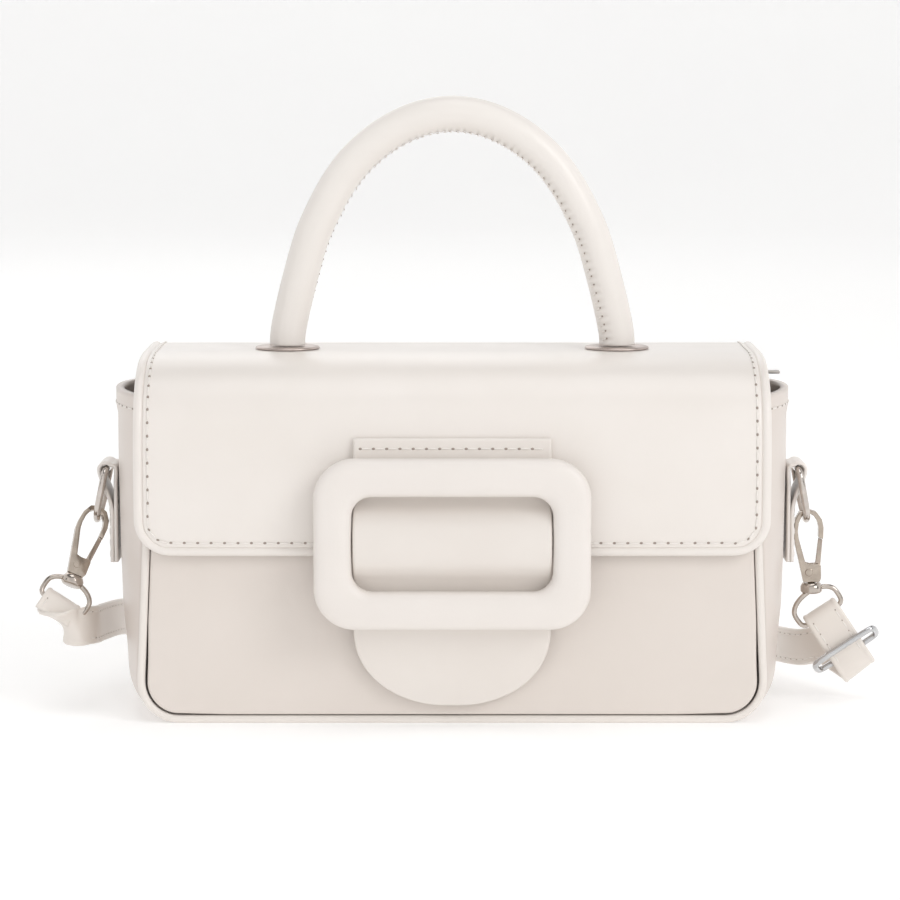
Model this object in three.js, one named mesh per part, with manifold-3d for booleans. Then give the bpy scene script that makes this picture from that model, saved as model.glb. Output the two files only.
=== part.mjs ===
// A structured leather box bag with a front flap, a round top handle, a large covered buckle,
// two snap hooks and a narrow shoulder strap.
// Millimetres. X runs across the bag, the front faces -Y, Z is up, and the origin is on the floor
// under the middle of the base.

import * as THREE from 'three';
import { mergeVertices } from 'three/addons/utils/BufferGeometryUtils.js';
import Module from 'manifold-3d';

const wasm = await Module();
wasm.setup();

// Leather body
const CLEARANCE = 0.3;
const WALL = 2.4;
const PIPING_DIAMETER = 2.5;
const BODY_HEIGHT = 101.5;
const BODY_HALF_DEPTH = 35;
const SEAM_TOP_HALF = 93.5;
const SEAM_BASE_HALF = 97.6;
const SEAM_CORNER_RADIUS = 13;
const GUSSET_BULGE = 12.3;
const PANEL_CROWN = 1.2;

// Flap
const FLAP_RISE = 11.8;
const FLAP_TOP = BODY_HEIGHT + FLAP_RISE;
const FLAP_DROP = 60.3;
const FLAP_HALF_WIDTH = 97.6;
const FLAP_STAND_OFF = 8;
const FLAP_CORNER_RADIUS = 11;
const FLAP_ROLL_DIAMETER = 3.2;
const BACK_SHOULDER_RADIUS = 12;

// Zip
const FACING_WALL = 1.6;
const ZIP_HALF_LENGTH = 98;
const ZIP_TAPE_WIDTH = 14;
const ZIP_TAPE_THICKNESS = 0.8;
const ZIP_TEETH_WIDTH = 5;
const ZIP_TEETH_HEIGHT = 1.8;

// Handle
const HANDLE_DIAMETER = 11.5;
const HANDLE_HALF_SPAN = 52.2;
const HANDLE_RISE = 74.3;
const HANDLE_APEX = FLAP_TOP + HANDLE_RISE;
const WASHER_DIAMETER = 20.4;
const WASHER_THICKNESS = 0.8;

// Covered buckle and its tab
const FRAME_WIDTH = 84.4;
const FRAME_HEIGHT = 52.4;
const FRAME_BAR = 11.6;
const FRAME_THICKNESS = 8;
const FRAME_DROP = 55;
const FRAME_CENTRE_HEIGHT = FLAP_TOP - FRAME_DROP;
const FRAME_CORNER_RADIUS = 12.5;
const FRAME_WINDOW_RADIUS = 6.2;
const FRAME_EDGE_RADIUS = 3.2;
const TAB_WIDTH = 60.6;
const TAB_WALL = 1.8;
const TAB_DROP = 23.3;
const TAB_LENGTH = 83.6;
const TAB_TOP = FLAP_TOP - TAB_DROP;
const TONGUE_LENGTH = 24.6;
const TONGUE_TIP_HEIGHT = TAB_TOP - TAB_LENGTH;

// Side tabs and D-rings
const SIDE_TAB_WIDTH = 14;
const SIDE_TAB_BOTTOM = 45.5;
const SIDE_TAB_TOP = 81;
const SIDE_TAB_LAYER = 1.2;
const RING_WIRE = 2.2;
const RING_LEG = 8.3;
const RING_BAR_HEIGHT = 75.4;
const RING_BAR_OUT = 3.6;
const RING_TILT = { left: 12, right: 11 };

// Snap hooks, in their own plane: u across, v up from the foot of the swivel
const HOOK_THICKNESS = 3.4;
const LEVER_THICKNESS = 1.6;
const HOOK_TOP = 27.3;
const HOOK_WIRE = 1.3;
const HOOK_EYE_OFFSET = -1.0;
const PIVOT = new THREE.Vector2(-0.85, 6.9);
const PIVOT_RADIUS = 0.7;
const RIVET_HEAD_RADIUS = 1.2;
const RIVET_HEAD_RISE = 0.35;
const LEVER_REACH = 11.3;
const COLLAR_RADIUS = 3.5;
const COLLAR_HEIGHT = 3.4;
const POST_RADIUS = 1.2;
const LOOP_HALF_WIDTH = 7.7;
const LOOP_HALF_HEIGHT = 4.5;
const LOOP_WIRE = 1.6;
const LOOP_BAR_SQUARENESS = 0.36;

// Shoulder strap
const STRAP_WIDTH = 12;
const STRAP_WALL = 1.8;
const STRAP_REACH = 452;
const STRAP_BAY_HALF = 84;
const SLIDER_HALF_LENGTH = 11;
const SLIDER_HALF_DEPTH = 4.6;
const SLIDER_WIRE = 2;

const vec = (x, y, z) => new THREE.Vector3(x, y, z);
const degrees = (angle) => THREE.MathUtils.degToRad(angle);

// Materials
const offWhiteLeather = (tone = 0xece7e1) => new THREE.MeshStandardMaterial({
  color: tone, roughness: 0.42, metalness: 0,
});
const coveredBoard = () => new THREE.MeshStandardMaterial({ color: 0xece6e0, roughness: 0.38, metalness: 0 });
const nickel = (tone = 0xb5aaa2) => new THREE.MeshStandardMaterial({
  color: tone, roughness: 0.28, metalness: 1,
});
const zipFabric = () => new THREE.MeshStandardMaterial({ color: 0xe2ddd6, roughness: 0.85, metalness: 0 });

// A closed leather wall from two grids of points, its face and its lining, with the same rows and
// columns. The four borders are stitched from one grid to the other.
function wallBetween(face, lining) {
  const rows = face.length;
  const columns = face[0].length;
  const points = [...face.flat(), ...lining.flat()];
  const half = rows * columns;
  const at = (row, column) => row * columns + column;
  const index = [];
  const quad = (a, b, c, d) => index.push(a, b, c, a, c, d);
  for (let r = 0; r < rows - 1; r++) {
    for (let c = 0; c < columns - 1; c++) {
      quad(at(r, c), at(r, c + 1), at(r + 1, c + 1), at(r + 1, c));
      quad(half + at(r, c), half + at(r + 1, c), half + at(r + 1, c + 1), half + at(r, c + 1));
    }
  }
  for (let c = 0; c < columns - 1; c++) {
    quad(at(0, c + 1), at(0, c), half + at(0, c), half + at(0, c + 1));
    quad(at(rows - 1, c), at(rows - 1, c + 1), half + at(rows - 1, c + 1), half + at(rows - 1, c));
  }
  const last = columns - 1;
  for (let r = 0; r < rows - 1; r++) {
    quad(at(r, 0), at(r + 1, 0), half + at(r + 1, 0), half + at(r, 0));
    quad(at(r + 1, last), at(r, last), half + at(r, last), half + at(r + 1, last));
  }
  const geometry = new THREE.BufferGeometry();
  geometry.setAttribute('position', new THREE.Float32BufferAttribute(points.flatMap((p) => p.toArray()), 3));
  geometry.setIndex(index);
  return facingOut(geometry);
}

// Turns a closed geometry's triangles round if they face inwards.
function facingOut(geometry) {
  const p = geometry.attributes.position;
  const index = geometry.index;
  const corner = [vec(0, 0, 0), vec(0, 0, 0), vec(0, 0, 0)];
  let volume = 0;
  for (let i = 0; i < index.count; i += 3) {
    corner.forEach((c, k) => c.fromBufferAttribute(p, index.getX(i + k)));
    volume += corner[0].dot(corner[1].clone().cross(corner[2]));
  }
  if (volume < 0) {
    for (let i = 0; i < index.count; i += 3) {
      const second = index.getX(i + 1);
      index.setX(i + 1, index.getX(i + 2));
      index.setX(i + 2, second);
    }
  }
  return geometry;
}

function weld(geometry) {
  const bare = geometry.clone();
  bare.deleteAttribute('normal');
  bare.deleteAttribute('uv');
  return mergeVertices(bare, 1e-4);
}

function toSolid(geometry) {
  const welded = weld(geometry);
  const triangles = welded.index ? welded.index.array : [...welded.attributes.position.array.keys()];
  return new wasm.Manifold(new wasm.Mesh({
    numProp: 3,
    vertProperties: Float32Array.from(welded.attributes.position.array),
    triVerts: Uint32Array.from(triangles),
  }));
}

function fromSolid(solid) {
  const mesh = solid.getMesh();
  const geometry = new THREE.BufferGeometry();
  geometry.setAttribute('position', new THREE.Float32BufferAttribute(mesh.vertProperties, 3));
  geometry.setIndex([...mesh.triVerts]);
  return geometry;
}

function named(name, geometry, material) {
  const mesh = new THREE.Mesh(geometry, material);
  mesh.name = name;
  return mesh;
}

function roundSection(radius, sides) {
  const shape = new THREE.Shape();
  for (let i = 0; i < sides; i++) {
    const angle = (2 * Math.PI * i) / sides;
    const x = radius * Math.cos(angle);
    const y = radius * Math.sin(angle);
    if (i === 0) shape.moveTo(x, y);
    else shape.lineTo(x, y);
  }
  return shape;
}

function tubeAlong(points, diameter, sides, steps) {
  const path = new THREE.CatmullRomCurve3(points, false, 'centripetal');
  return new THREE.ExtrudeGeometry(roundSection(diameter / 2, sides), { steps, extrudePath: path });
}

function closedRing(points, wire, sides, steps) {
  const path = new THREE.CatmullRomCurve3(points, true, 'centripetal');
  return weld(new THREE.TubeGeometry(path, steps, wire / 2, sides, true));
}

// Half-width of the seam line between panel and gusset, at a height and an inset
function seamHalf(height, inset = 0) {
  const radius = SEAM_CORNER_RADIUS - inset;
  const lower = height - inset;
  if (lower < radius) {
    const rise = radius - Math.max(lower, 0);
    return SEAM_BASE_HALF - SEAM_CORNER_RADIUS + Math.sqrt(radius * radius - rise * rise);
  }
  const share = (height - SEAM_CORNER_RADIUS) / (BODY_HEIGHT - SEAM_CORNER_RADIUS);
  return SEAM_BASE_HALF - inset + (SEAM_TOP_HALF - SEAM_BASE_HALF) * share;
}

// The seam line from the top left, down, round under the base and up to the top right, as
// points with their outward direction
function seamLine(inset, top, sideSteps, cornerSteps) {
  const left = [];
  for (let i = 0; i <= sideSteps; i++) {
    const z = top + (SEAM_CORNER_RADIUS - top) * (i / sideSteps);
    left.push({ x: -seamHalf(z, inset), z, out: new THREE.Vector2(-1, 0) });
  }
  const radius = SEAM_CORNER_RADIUS - inset;
  for (let i = 1; i <= cornerSteps; i++) {
    const angle = (Math.PI / 2) * (i / cornerSteps);
    const out = new THREE.Vector2(-Math.cos(angle), -Math.sin(angle));
    left.push({
      x: -(SEAM_BASE_HALF - SEAM_CORNER_RADIUS) + radius * out.x,
      z: SEAM_CORNER_RADIUS + radius * out.y,
      out,
    });
  }
  const right = left.map((p) => ({ x: -p.x, z: p.z, out: new THREE.Vector2(-p.out.x, p.out.y) }));
  const base = [-0.94, -0.5, 0, 0.5, 0.94].map((share) => (
    { x: share * (SEAM_BASE_HALF - SEAM_CORNER_RADIUS), z: inset, out: new THREE.Vector2(0, -1) }));
  return [...left, ...base, ...right.reverse()];
}

// How far the gusset swells past the seam: share of the body's height, share of the rim's bulge
const BULGE = [
  { height: 0, bulge: 0 }, { height: 0.064, bulge: 0.36 }, { height: 0.13, bulge: 0.43 },
  { height: 0.2, bulge: 0.5 }, { height: 0.33, bulge: 0.66 }, { height: 0.47, bulge: 0.75 },
  { height: 0.79, bulge: 0.92 }, { height: 1, bulge: 1 },
];

function readTable(table, key, value, share) {
  let i = 1;
  while (i < table.length - 1 && share > table[i][key]) i++;
  const low = table[i - 1];
  const high = table[i];
  const t = THREE.MathUtils.clamp((share - low[key]) / (high[key] - low[key]), 0, 1);
  return low[value] + (high[value] - low[value]) * t;
}

const bulgeAt = (height) => GUSSET_BULGE * readTable(BULGE, 'height', 'bulge', height / BODY_HEIGHT);
const gussetHalf = (height) => seamHalf(height) + bulgeAt(height);

const GUSSET_HALF_DEPTH = BODY_HALF_DEPTH - PIPING_DIAMETER / 2 - CLEARANCE;
const PANEL_INSET = PIPING_DIAMETER + 2 * CLEARANCE;
const PANEL_FACE = BODY_HALF_DEPTH + 1;
const PANEL_BACK = PANEL_FACE - WALL;

function gusset() {
  const line = seamLine(0, BODY_HEIGHT, 7, 5);
  const across = 8;
  const swell = (share) => 1 - Math.abs(share) ** 2.4;
  const face = [];
  const lining = [];
  for (const point of line) {
    const bulge = bulgeAt(point.z);
    const sideways = Math.abs(point.out.x);
    const faceRow = [];
    const liningRow = [];
    for (let j = 0; j <= across; j++) {
      const share = -1 + (2 * j) / across;
      const y = share * GUSSET_HALF_DEPTH;
      const offset = bulge * swell(share) * sideways;
      faceRow.push(vec(point.x + point.out.x * offset, y, point.z + point.out.y * offset));
      const inner = offset - WALL;
      liningRow.push(vec(point.x + point.out.x * inner, y, point.z + point.out.y * inner));
    }
    face.push(faceRow);
    lining.push(liningRow);
  }
  return named('gusset', wallBetween(face, lining), offWhiteLeather(0xe4ddd6));
}

// Heights of the rows of a panel: close together round the bottom corners
function panelRows(inset, top, steps) {
  const rows = [];
  const radius = SEAM_CORNER_RADIUS - inset;
  for (let i = 0; i < 5; i++) {
    rows.push(inset + radius * (1 - Math.cos((Math.PI / 2) * (i / 5))));
  }
  for (let i = 0; i <= steps; i++) rows.push(SEAM_CORNER_RADIUS + (top - SEAM_CORNER_RADIUS) * (i / steps));
  return rows;
}

function frontPanel() {
  const columns = 10;
  const face = [];
  const lining = [];
  for (const z of panelRows(PANEL_INSET, BODY_HEIGHT - 2, 6)) {
    const half = seamHalf(z, PANEL_INSET);
    const rise = Math.sin(Math.PI * THREE.MathUtils.clamp(z / BODY_HEIGHT, 0, 1));
    const faceRow = [];
    const liningRow = [];
    for (let j = 0; j <= columns; j++) {
      const share = -1 + (2 * j) / columns;
      const crown = PANEL_CROWN * rise * (1 - share ** 4);
      faceRow.push(vec(share * half, -PANEL_FACE - crown, z));
      liningRow.push(vec(share * half, -PANEL_BACK - crown, z));
    }
    face.push(faceRow);
    lining.push(liningRow);
  }
  return named('front_panel', wallBetween(face, lining), offWhiteLeather(0xe5ddd7));
}

function piping(name, side) {
  const inset = PIPING_DIAMETER / 2;
  const points = seamLine(inset, BODY_HEIGHT - 4, 5, 5).map((p) => vec(p.x, side * BODY_HALF_DEPTH, p.z));
  return named(name, tubeAlong(points, PIPING_DIAMETER, 6, 52), offWhiteLeather(0xefe9e3));
}

// The sheet's outer line from the foot of the back, over the top and down the front.
// Forward shares are of the flap's front reach, drops are shares of its front height.
const FLAP_FRONT = [
  { forward: 0.3, drop: 0 }, { forward: 0.56, drop: 0.026 }, { forward: 0.744, drop: 0.083 },
  { forward: 0.872, drop: 0.166 }, { forward: 0.953, drop: 0.282 }, { forward: 0.99, drop: 0.448 },
  { forward: 1, drop: 0.663 }, { forward: 0.986, drop: 0.85 }, { forward: 0.955, drop: 1 },
];
const FLAP_REACH = PANEL_FACE + FLAP_STAND_OFF - 1;
const BACK_FACE = PANEL_FACE;

function sheetLine() {
  const points = [];
  const shoulder = FLAP_TOP - BACK_SHOULDER_RADIUS;
  for (let i = 0; i <= 4; i++) {
    points.push(vec(0, BACK_FACE, PANEL_INSET + (shoulder - PANEL_INSET) * (i / 4)));
  }
  for (let i = 1; i <= 5; i++) {
    const angle = (Math.PI / 2) * (i / 5);
    points.push(vec(0, BACK_FACE - BACK_SHOULDER_RADIUS * (1 - Math.cos(angle)),
      shoulder + BACK_SHOULDER_RADIUS * Math.sin(angle)));
  }
  points.push(vec(0, 3, FLAP_TOP));
  for (const row of FLAP_FRONT) {
    points.push(vec(0, -row.forward * FLAP_REACH, FLAP_TOP - row.drop * FLAP_DROP));
  }
  return new THREE.CatmullRomCurve3(points, false, 'centripetal');
}

const SHEET = sheetLine();
const SHEET_LENGTH = SHEET.getLength();

// A point on the sheet at a distance from its front edge, sunk into its thickness by a depth
function sheetPoint(x, fromEdge, depth) {
  const u = THREE.MathUtils.clamp(1 - fromEdge / SHEET_LENGTH, 0, 1);
  const point = SHEET.getPointAt(u);
  const along = SHEET.getTangentAt(u);
  return vec(x, point.y - depth * along.z, point.z + depth * along.y);
}

function flapHalf(fromEdge, inset) {
  const radius = FLAP_CORNER_RADIUS - inset;
  const rise = radius - (fromEdge - inset);
  const full = FLAP_HALF_WIDTH - inset;
  return rise > 0 ? full - radius + Math.sqrt(Math.max(radius * radius - rise * rise, 0)) : full;
}

function backPanelAndFlap() {
  const inset = FLAP_ROLL_DIAMETER + CLEARANCE;
  const stations = [];
  for (const z of panelRows(PANEL_INSET, BODY_HEIGHT - 3, 4)) {
    stations.push({ fromEdge: SHEET_LENGTH - (z - PANEL_INSET), half: seamHalf(z, PANEL_INSET) });
  }
  const start = SHEET_LENGTH - (BODY_HEIGHT - 4);
  const cornerStart = FLAP_CORNER_RADIUS;
  const steps = 26;
  for (let i = 0; i <= steps; i++) {
    const fromEdge = start + (cornerStart - start) * (i / steps);
    stations.push({ fromEdge, half: flapHalf(fromEdge, inset) });
  }
  const radius = FLAP_CORNER_RADIUS - inset;
  for (let i = 1; i <= 5; i++) {
    const fromEdge = cornerStart - radius * Math.sin((Math.PI / 2) * (i / 5));
    stations.push({ fromEdge, half: flapHalf(fromEdge, inset) });
  }
  const columns = 4;
  const rowAt = (station, depth) => {
    const row = [];
    for (let j = 0; j <= columns; j++) {
      row.push(sheetPoint((-1 + (2 * j) / columns) * station.half, station.fromEdge, depth));
    }
    return row;
  };
  const geometry = wallBetween(stations.map((s) => rowAt(s, 0)), stations.map((s) => rowAt(s, WALL)));
  return named('back_panel_flap', geometry, offWhiteLeather(0xf0ebe6));
}

function flapEdgeRoll() {
  const inset = FLAP_ROLL_DIAMETER / 2;
  const left = [];
  const start = SHEET_LENGTH - (BODY_HEIGHT - 2);
  const steps = 16;
  for (let i = 0; i <= steps; i++) {
    const fromEdge = start + (FLAP_CORNER_RADIUS - start) * (i / steps);
    left.push(sheetPoint(-flapHalf(fromEdge, inset), fromEdge, WALL / 2));
  }
  const radius = FLAP_CORNER_RADIUS - inset;
  for (let i = 1; i <= 4; i++) {
    const fromEdge = FLAP_CORNER_RADIUS - radius * Math.sin((Math.PI / 2) * (i / 4));
    left.push(sheetPoint(-flapHalf(fromEdge, inset), fromEdge, WALL / 2));
  }
  const right = left.map((p) => vec(-p.x, p.y, p.z)).reverse();
  const geometry = tubeAlong([...left, ...right], FLAP_ROLL_DIAMETER, 6, 84);
  return named('flap_edge_roll', geometry, offWhiteLeather(0xf3eeea));
}

// Facings: from the panel's top edge to the zip, as shares of the half depth, of the half length
// and of the rise
const FACING = [
  { out: 0.945, length: 0.92, rise: 0 }, { out: 0.7, length: 0.965, rise: 0.55 },
  { out: 0.42, length: 0.99, rise: 0.9 }, { out: 0.17, length: 1, rise: 1 },
];
const FACING_BASE = BODY_HEIGHT - 1.5;
const FACING_RISE = 3.4;

function topFacing(name, side) {
  const rowAt = (row, sunk) => [-1, 0, 1].map((end) => vec(end * row.length * ZIP_HALF_LENGTH,
    side * row.out * BODY_HALF_DEPTH, FACING_BASE + row.rise * FACING_RISE - sunk));
  const [face, lining] = [0, FACING_WALL].map((sunk) => FACING.map((row) => rowAt(row, sunk)));
  return named(name, wallBetween(face, lining), offWhiteLeather(0xe4ddd6));
}

const TAPE_TOP = FACING_BASE + FACING_RISE - FACING_WALL - CLEARANCE;

function zipTape() {
  const geometry = new THREE.BoxGeometry(2 * ZIP_HALF_LENGTH, ZIP_TAPE_WIDTH, ZIP_TAPE_THICKNESS);
  geometry.translate(0, 0, TAPE_TOP - ZIP_TAPE_THICKNESS / 2);
  return named('zip_tape', geometry, zipFabric());
}

const SLIDER_BODY = { length: 8.5, width: 7.6, height: 4.2 };

function zipTeeth() {
  const length = 2 * ZIP_HALF_LENGTH - SLIDER_BODY.length - CLEARANCE - 2;
  const geometry = new THREE.BoxGeometry(length, ZIP_TEETH_WIDTH, ZIP_TEETH_HEIGHT);
  geometry.translate(-ZIP_HALF_LENGTH + 1 + length / 2, 0, TAPE_TOP + CLEARANCE + ZIP_TEETH_HEIGHT / 2);
  return named('zip_teeth', geometry, nickel());
}

function roundedBlock(width, depth, height, radius, bevel) {
  const shape = roundedRectangle(width - 2 * bevel, depth - 2 * bevel, radius, 3);
  const geometry = new THREE.ExtrudeGeometry(shape, {
    depth: height - 2 * bevel, bevelThickness: bevel, bevelSize: bevel, bevelSegments: 1,
  });
  return geometry.translate(0, 0, bevel);
}

function zipSlider() {
  const body = roundedBlock(SLIDER_BODY.length, SLIDER_BODY.width, SLIDER_BODY.height, 1.6, 0.5);
  body.translate(ZIP_HALF_LENGTH - SLIDER_BODY.length / 2, 0, TAPE_TOP + CLEARANCE);
  const pull = roundedBlock(9, 4.4, 1.2, 1.4, 0.3);
  pull.rotateY(degrees(8));
  pull.translate(ZIP_HALF_LENGTH + 1.5, 0, TAPE_TOP + CLEARANCE + SLIDER_BODY.height - 1);
  return named('zip_slider', fromSolid(toSolid(body).add(toSolid(pull))), nickel(0xa9a5a2));
}

// The handle's centre line: share of its half span, share of its rise
const HANDLE_ARCH = [
  { across: 1, up: 0 }, { across: 0.999, up: 0.03 }, { across: 0.99, up: 0.08 }, { across: 0.927, up: 0.275 },
  { across: 0.843, up: 0.48 }, { across: 0.776, up: 0.586 }, { across: 0.697, up: 0.69 },
  { across: 0.582, up: 0.8 }, { across: 0.41, up: 0.905 }, { across: 0.21, up: 0.975 },
];
const HANDLE_FOOT = FLAP_TOP + WASHER_THICKNESS + 2 * CLEARANCE;

function handle() {
  const rise = HANDLE_APEX - HANDLE_FOOT;
  const left = HANDLE_ARCH.map((row) => vec(-row.across * HANDLE_HALF_SPAN, 0, HANDLE_FOOT + row.up * rise));
  const right = left.map((p) => vec(-p.x, 0, p.z)).reverse();
  const points = [...left, vec(0, 0, HANDLE_APEX), ...right];
  return named('handle', tubeAlong(points, HANDLE_DIAMETER, 12, 36), offWhiteLeather(0xefeae5));
}

function handleWasher(name, side) {
  const radius = WASHER_DIAMETER / 2;
  const profile = [
    new THREE.Vector2(0, 0), new THREE.Vector2(radius, 0), new THREE.Vector2(radius, WASHER_THICKNESS * 0.5),
    new THREE.Vector2(radius - 0.5, WASHER_THICKNESS), new THREE.Vector2(0, WASHER_THICKNESS),
  ];
  const geometry = new THREE.LatheGeometry(profile, 24);
  geometry.rotateX(Math.PI / 2);
  geometry.translate(side * HANDLE_HALF_SPAN, 0, FLAP_TOP + CLEARANCE);
  return named(name, geometry, nickel(0xcfc2bd));
}

function roundedRectangle(width, height, radius, steps) {
  const shape = new THREE.Shape();
  const centres = [[1, 1], [-1, 1], [-1, -1], [1, -1]];
  centres.forEach(([sx, sy], quarter) => {
    for (let i = 0; i <= steps; i++) {
      const angle = (Math.PI / 2) * (quarter + i / steps);
      const x = sx * (width / 2 - radius) + radius * Math.cos(angle);
      const y = sy * (height / 2 - radius) + radius * Math.sin(angle);
      if (quarter === 0 && i === 0) shape.moveTo(x, y);
      else shape.lineTo(x, y);
    }
  });
  return shape;
}

// The tab's line: height share between tongue tip and top, and how far it stands off the flap's
// face, as a share of the frame's thickness (below the flap it falls back towards the panel)
const TAB_LINE = [
  { height: 0, out: -0.5 }, { height: 0.09, out: -0.42 }, { height: 0.18, out: -0.28 },
  { height: 0.27, out: -0.08 }, { height: 0.35, out: 0.1 }, { height: 0.41, out: 0.19 },
  { height: 0.455, out: 0.24 }, { height: 0.487, out: 0.4 }, { height: 0.52, out: 0.7 },
  { height: 0.555, out: 0.95 }, { height: 0.62, out: 1.06 }, { height: 0.685, out: 0.96 },
  { height: 0.72, out: 0.72 }, { height: 0.752, out: 0.37 }, { height: 0.78, out: 0.21 },
  { height: 0.83, out: 0.2 }, { height: 0.88, out: 0.16 }, { height: 0.94, out: 0.12 },
  { height: 1, out: 0.04 },
];
const TAB_BEHIND_BARS = 0.2;
const FRAME_BACK = FLAP_REACH + TAB_BEHIND_BARS * FRAME_THICKNESS + TAB_WALL / 2 + CLEARANCE;

function buckleFrame() {
  const bevel = FRAME_EDGE_RADIUS;
  const inset = (size, by) => size - 2 * by;
  const shape = roundedRectangle(inset(FRAME_WIDTH, bevel), inset(FRAME_HEIGHT, bevel),
    FRAME_CORNER_RADIUS - bevel, 5);
  const windowInset = FRAME_BAR - bevel;
  shape.holes.push(roundedRectangle(inset(FRAME_WIDTH, windowInset), inset(FRAME_HEIGHT, windowInset),
    FRAME_WINDOW_RADIUS + bevel, 5));
  const geometry = new THREE.ExtrudeGeometry(shape, {
    depth: FRAME_THICKNESS - 2 * bevel, bevelThickness: bevel, bevelSize: bevel, bevelSegments: 3,
  });
  geometry.rotateX(Math.PI / 2);
  geometry.translate(0, -FRAME_BACK - bevel, FRAME_CENTRE_HEIGHT);
  return named('buckle_frame', geometry, coveredBoard());
}

function buckleTab() {
  const length = TAB_TOP - TONGUE_TIP_HEIGHT;
  const line = new THREE.CatmullRomCurve3(TAB_LINE.map((row) => vec(0,
    -FLAP_REACH - row.out * FRAME_THICKNESS, TONGUE_TIP_HEIGHT + row.height * length)), false, 'centripetal');
  const roundness = 2.2;
  const stations = [0.004, 0.02, 0.05, 0.09, 0.14, 0.19, 0.25];
  for (let i = 1; i <= 20; i++) stations.push(0.25 + 0.75 * (i / 20));
  const rowAt = (u, sunk) => {
    const p = line.getPointAt(u);
    const along = line.getTangentAt(u);
    const drop = THREE.MathUtils.clamp(1 - (p.z - TONGUE_TIP_HEIGHT) / TONGUE_LENGTH, 0, 0.999);
    const half = (TAB_WIDTH / 2) * (1 - drop ** roundness) ** (1 / roundness);
    return [-1, 0, 1].map((end) => vec(end * half, p.y + sunk * along.z, p.z - sunk * along.y));
  };
  const [face, lining] = [-1, 1].map((side) => stations.map((u) => rowAt(u, (side * TAB_WALL) / 2)));
  return named('buckle_tab', wallBetween(face, lining), offWhiteLeather(0xeae5df));
}

const SIDE_FACE = Math.max(gussetHalf(SIDE_TAB_BOTTOM), gussetHalf(SIDE_TAB_TOP)) + CLEARANCE;
const SIDE_TAB_OUT = 2 * SIDE_TAB_LAYER;

// The folded tab in profile: two layers sewn together, opening into a loop round the ring's bar
function sideTab(name, side) {
  const loopHole = RING_WIRE / 2 + 0.55;
  const loopOuter = loopHole + SIDE_TAB_LAYER;
  const height = RING_BAR_HEIGHT;
  const outline = [[0, SIDE_TAB_BOTTOM], [SIDE_TAB_OUT, SIDE_TAB_BOTTOM], [SIDE_TAB_OUT, height - 12],
    [SIDE_TAB_OUT + 0.7, height - 7.5], [RING_BAR_OUT + 2, height - 3.2]];
  for (let i = 0; i <= 8; i++) {
    const angle = degrees(-20 + 150 * (i / 8));
    outline.push([RING_BAR_OUT + loopOuter * Math.cos(angle), height + loopOuter * Math.sin(angle)]);
  }
  outline.push([1.1, SIDE_TAB_TOP], [0, SIDE_TAB_TOP - 1]);
  const hole = [[SIDE_TAB_LAYER + 0.15, height - 8]];
  hole.push([SIDE_TAB_LAYER + 0.9, height - 6.6], [RING_BAR_OUT + 0.9, height - 2]);
  for (let i = 0; i <= 7; i++) {
    const angle = degrees(-20 + 200 * (i / 7));
    hole.push([RING_BAR_OUT + loopHole * Math.cos(angle), height + loopHole * Math.sin(angle)]);
  }
  hole.push([SIDE_TAB_LAYER + 0.35, height - 3]);
  const shape = new THREE.Shape(outline.map(([u, v]) => new THREE.Vector2(u, v)));
  shape.holes.push(new THREE.Path(hole.map(([u, v]) => new THREE.Vector2(u, v))));
  const geometry = new THREE.ExtrudeGeometry(shape, { depth: SIDE_TAB_WIDTH, bevelEnabled: false });
  geometry.rotateX(Math.PI / 2);
  geometry.translate(0, SIDE_TAB_WIDTH / 2, 0);
  if (side < 0) geometry.rotateZ(Math.PI);
  geometry.translate(side * SIDE_FACE, 0, 0);
  return named(name, geometry, offWhiteLeather(0xf1ece7));
}

const RING_HALF_WIDTH = SIDE_TAB_WIDTH / 2 + CLEARANCE + RING_WIRE / 2 + 0.2;
const RING_DROP = RING_LEG + RING_HALF_WIDTH;
const sideName = (side) => (side < 0 ? 'left' : 'right');
const ringBar = (side) => vec(side * (SIDE_FACE + RING_BAR_OUT), 0, RING_BAR_HEIGHT);

function ringBottom(side) {
  const tilt = degrees(RING_TILT[sideName(side)]);
  const bar = ringBar(side);
  return vec(bar.x + side * RING_DROP * Math.sin(tilt), 0, bar.z - RING_DROP * Math.cos(tilt));
}

function dRing(name, side) {
  const corner = 1.6;
  const points = [vec(0, -RING_HALF_WIDTH + corner, 0), vec(0, 0, 0), vec(0, RING_HALF_WIDTH - corner, 0),
    vec(0, RING_HALF_WIDTH, -corner), vec(0, RING_HALF_WIDTH, -RING_LEG)];
  for (let i = 1; i < 8; i++) {
    const angle = Math.PI * (i / 8);
    points.push(vec(0, RING_HALF_WIDTH * Math.cos(angle), -RING_LEG - RING_HALF_WIDTH * Math.sin(angle)));
  }
  points.push(vec(0, -RING_HALF_WIDTH, -RING_LEG), vec(0, -RING_HALF_WIDTH, -corner));
  const geometry = closedRing(points, RING_WIRE, 6, 40);
  geometry.rotateY(-side * degrees(RING_TILT[sideName(side)]));
  const bar = ringBar(side);
  geometry.translate(bar.x, bar.y, bar.z);
  return named(name, geometry, nickel(0xbcb4ad));
}

// How each snap hook hangs: its lean in the picture plane, its lean out of it, the turn of the hook
// about its own axis, the turn of the wire loop in its plane, and where the loop sits
const HANG = {
  left: {
    lean: 21, out: 24, turn: 8, slack: 1.5, seat: 0.7, forward: 3,
    loopTurn: -12, loopAcross: 0, loopDown: 2.8,
  },
  right: {
    lean: -1.5, out: 0, turn: 0, slack: 1, seat: -0.45, forward: 0,
    loopTurn: 32, loopAcross: 1.4, loopDown: 3.6,
  },
};

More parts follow.
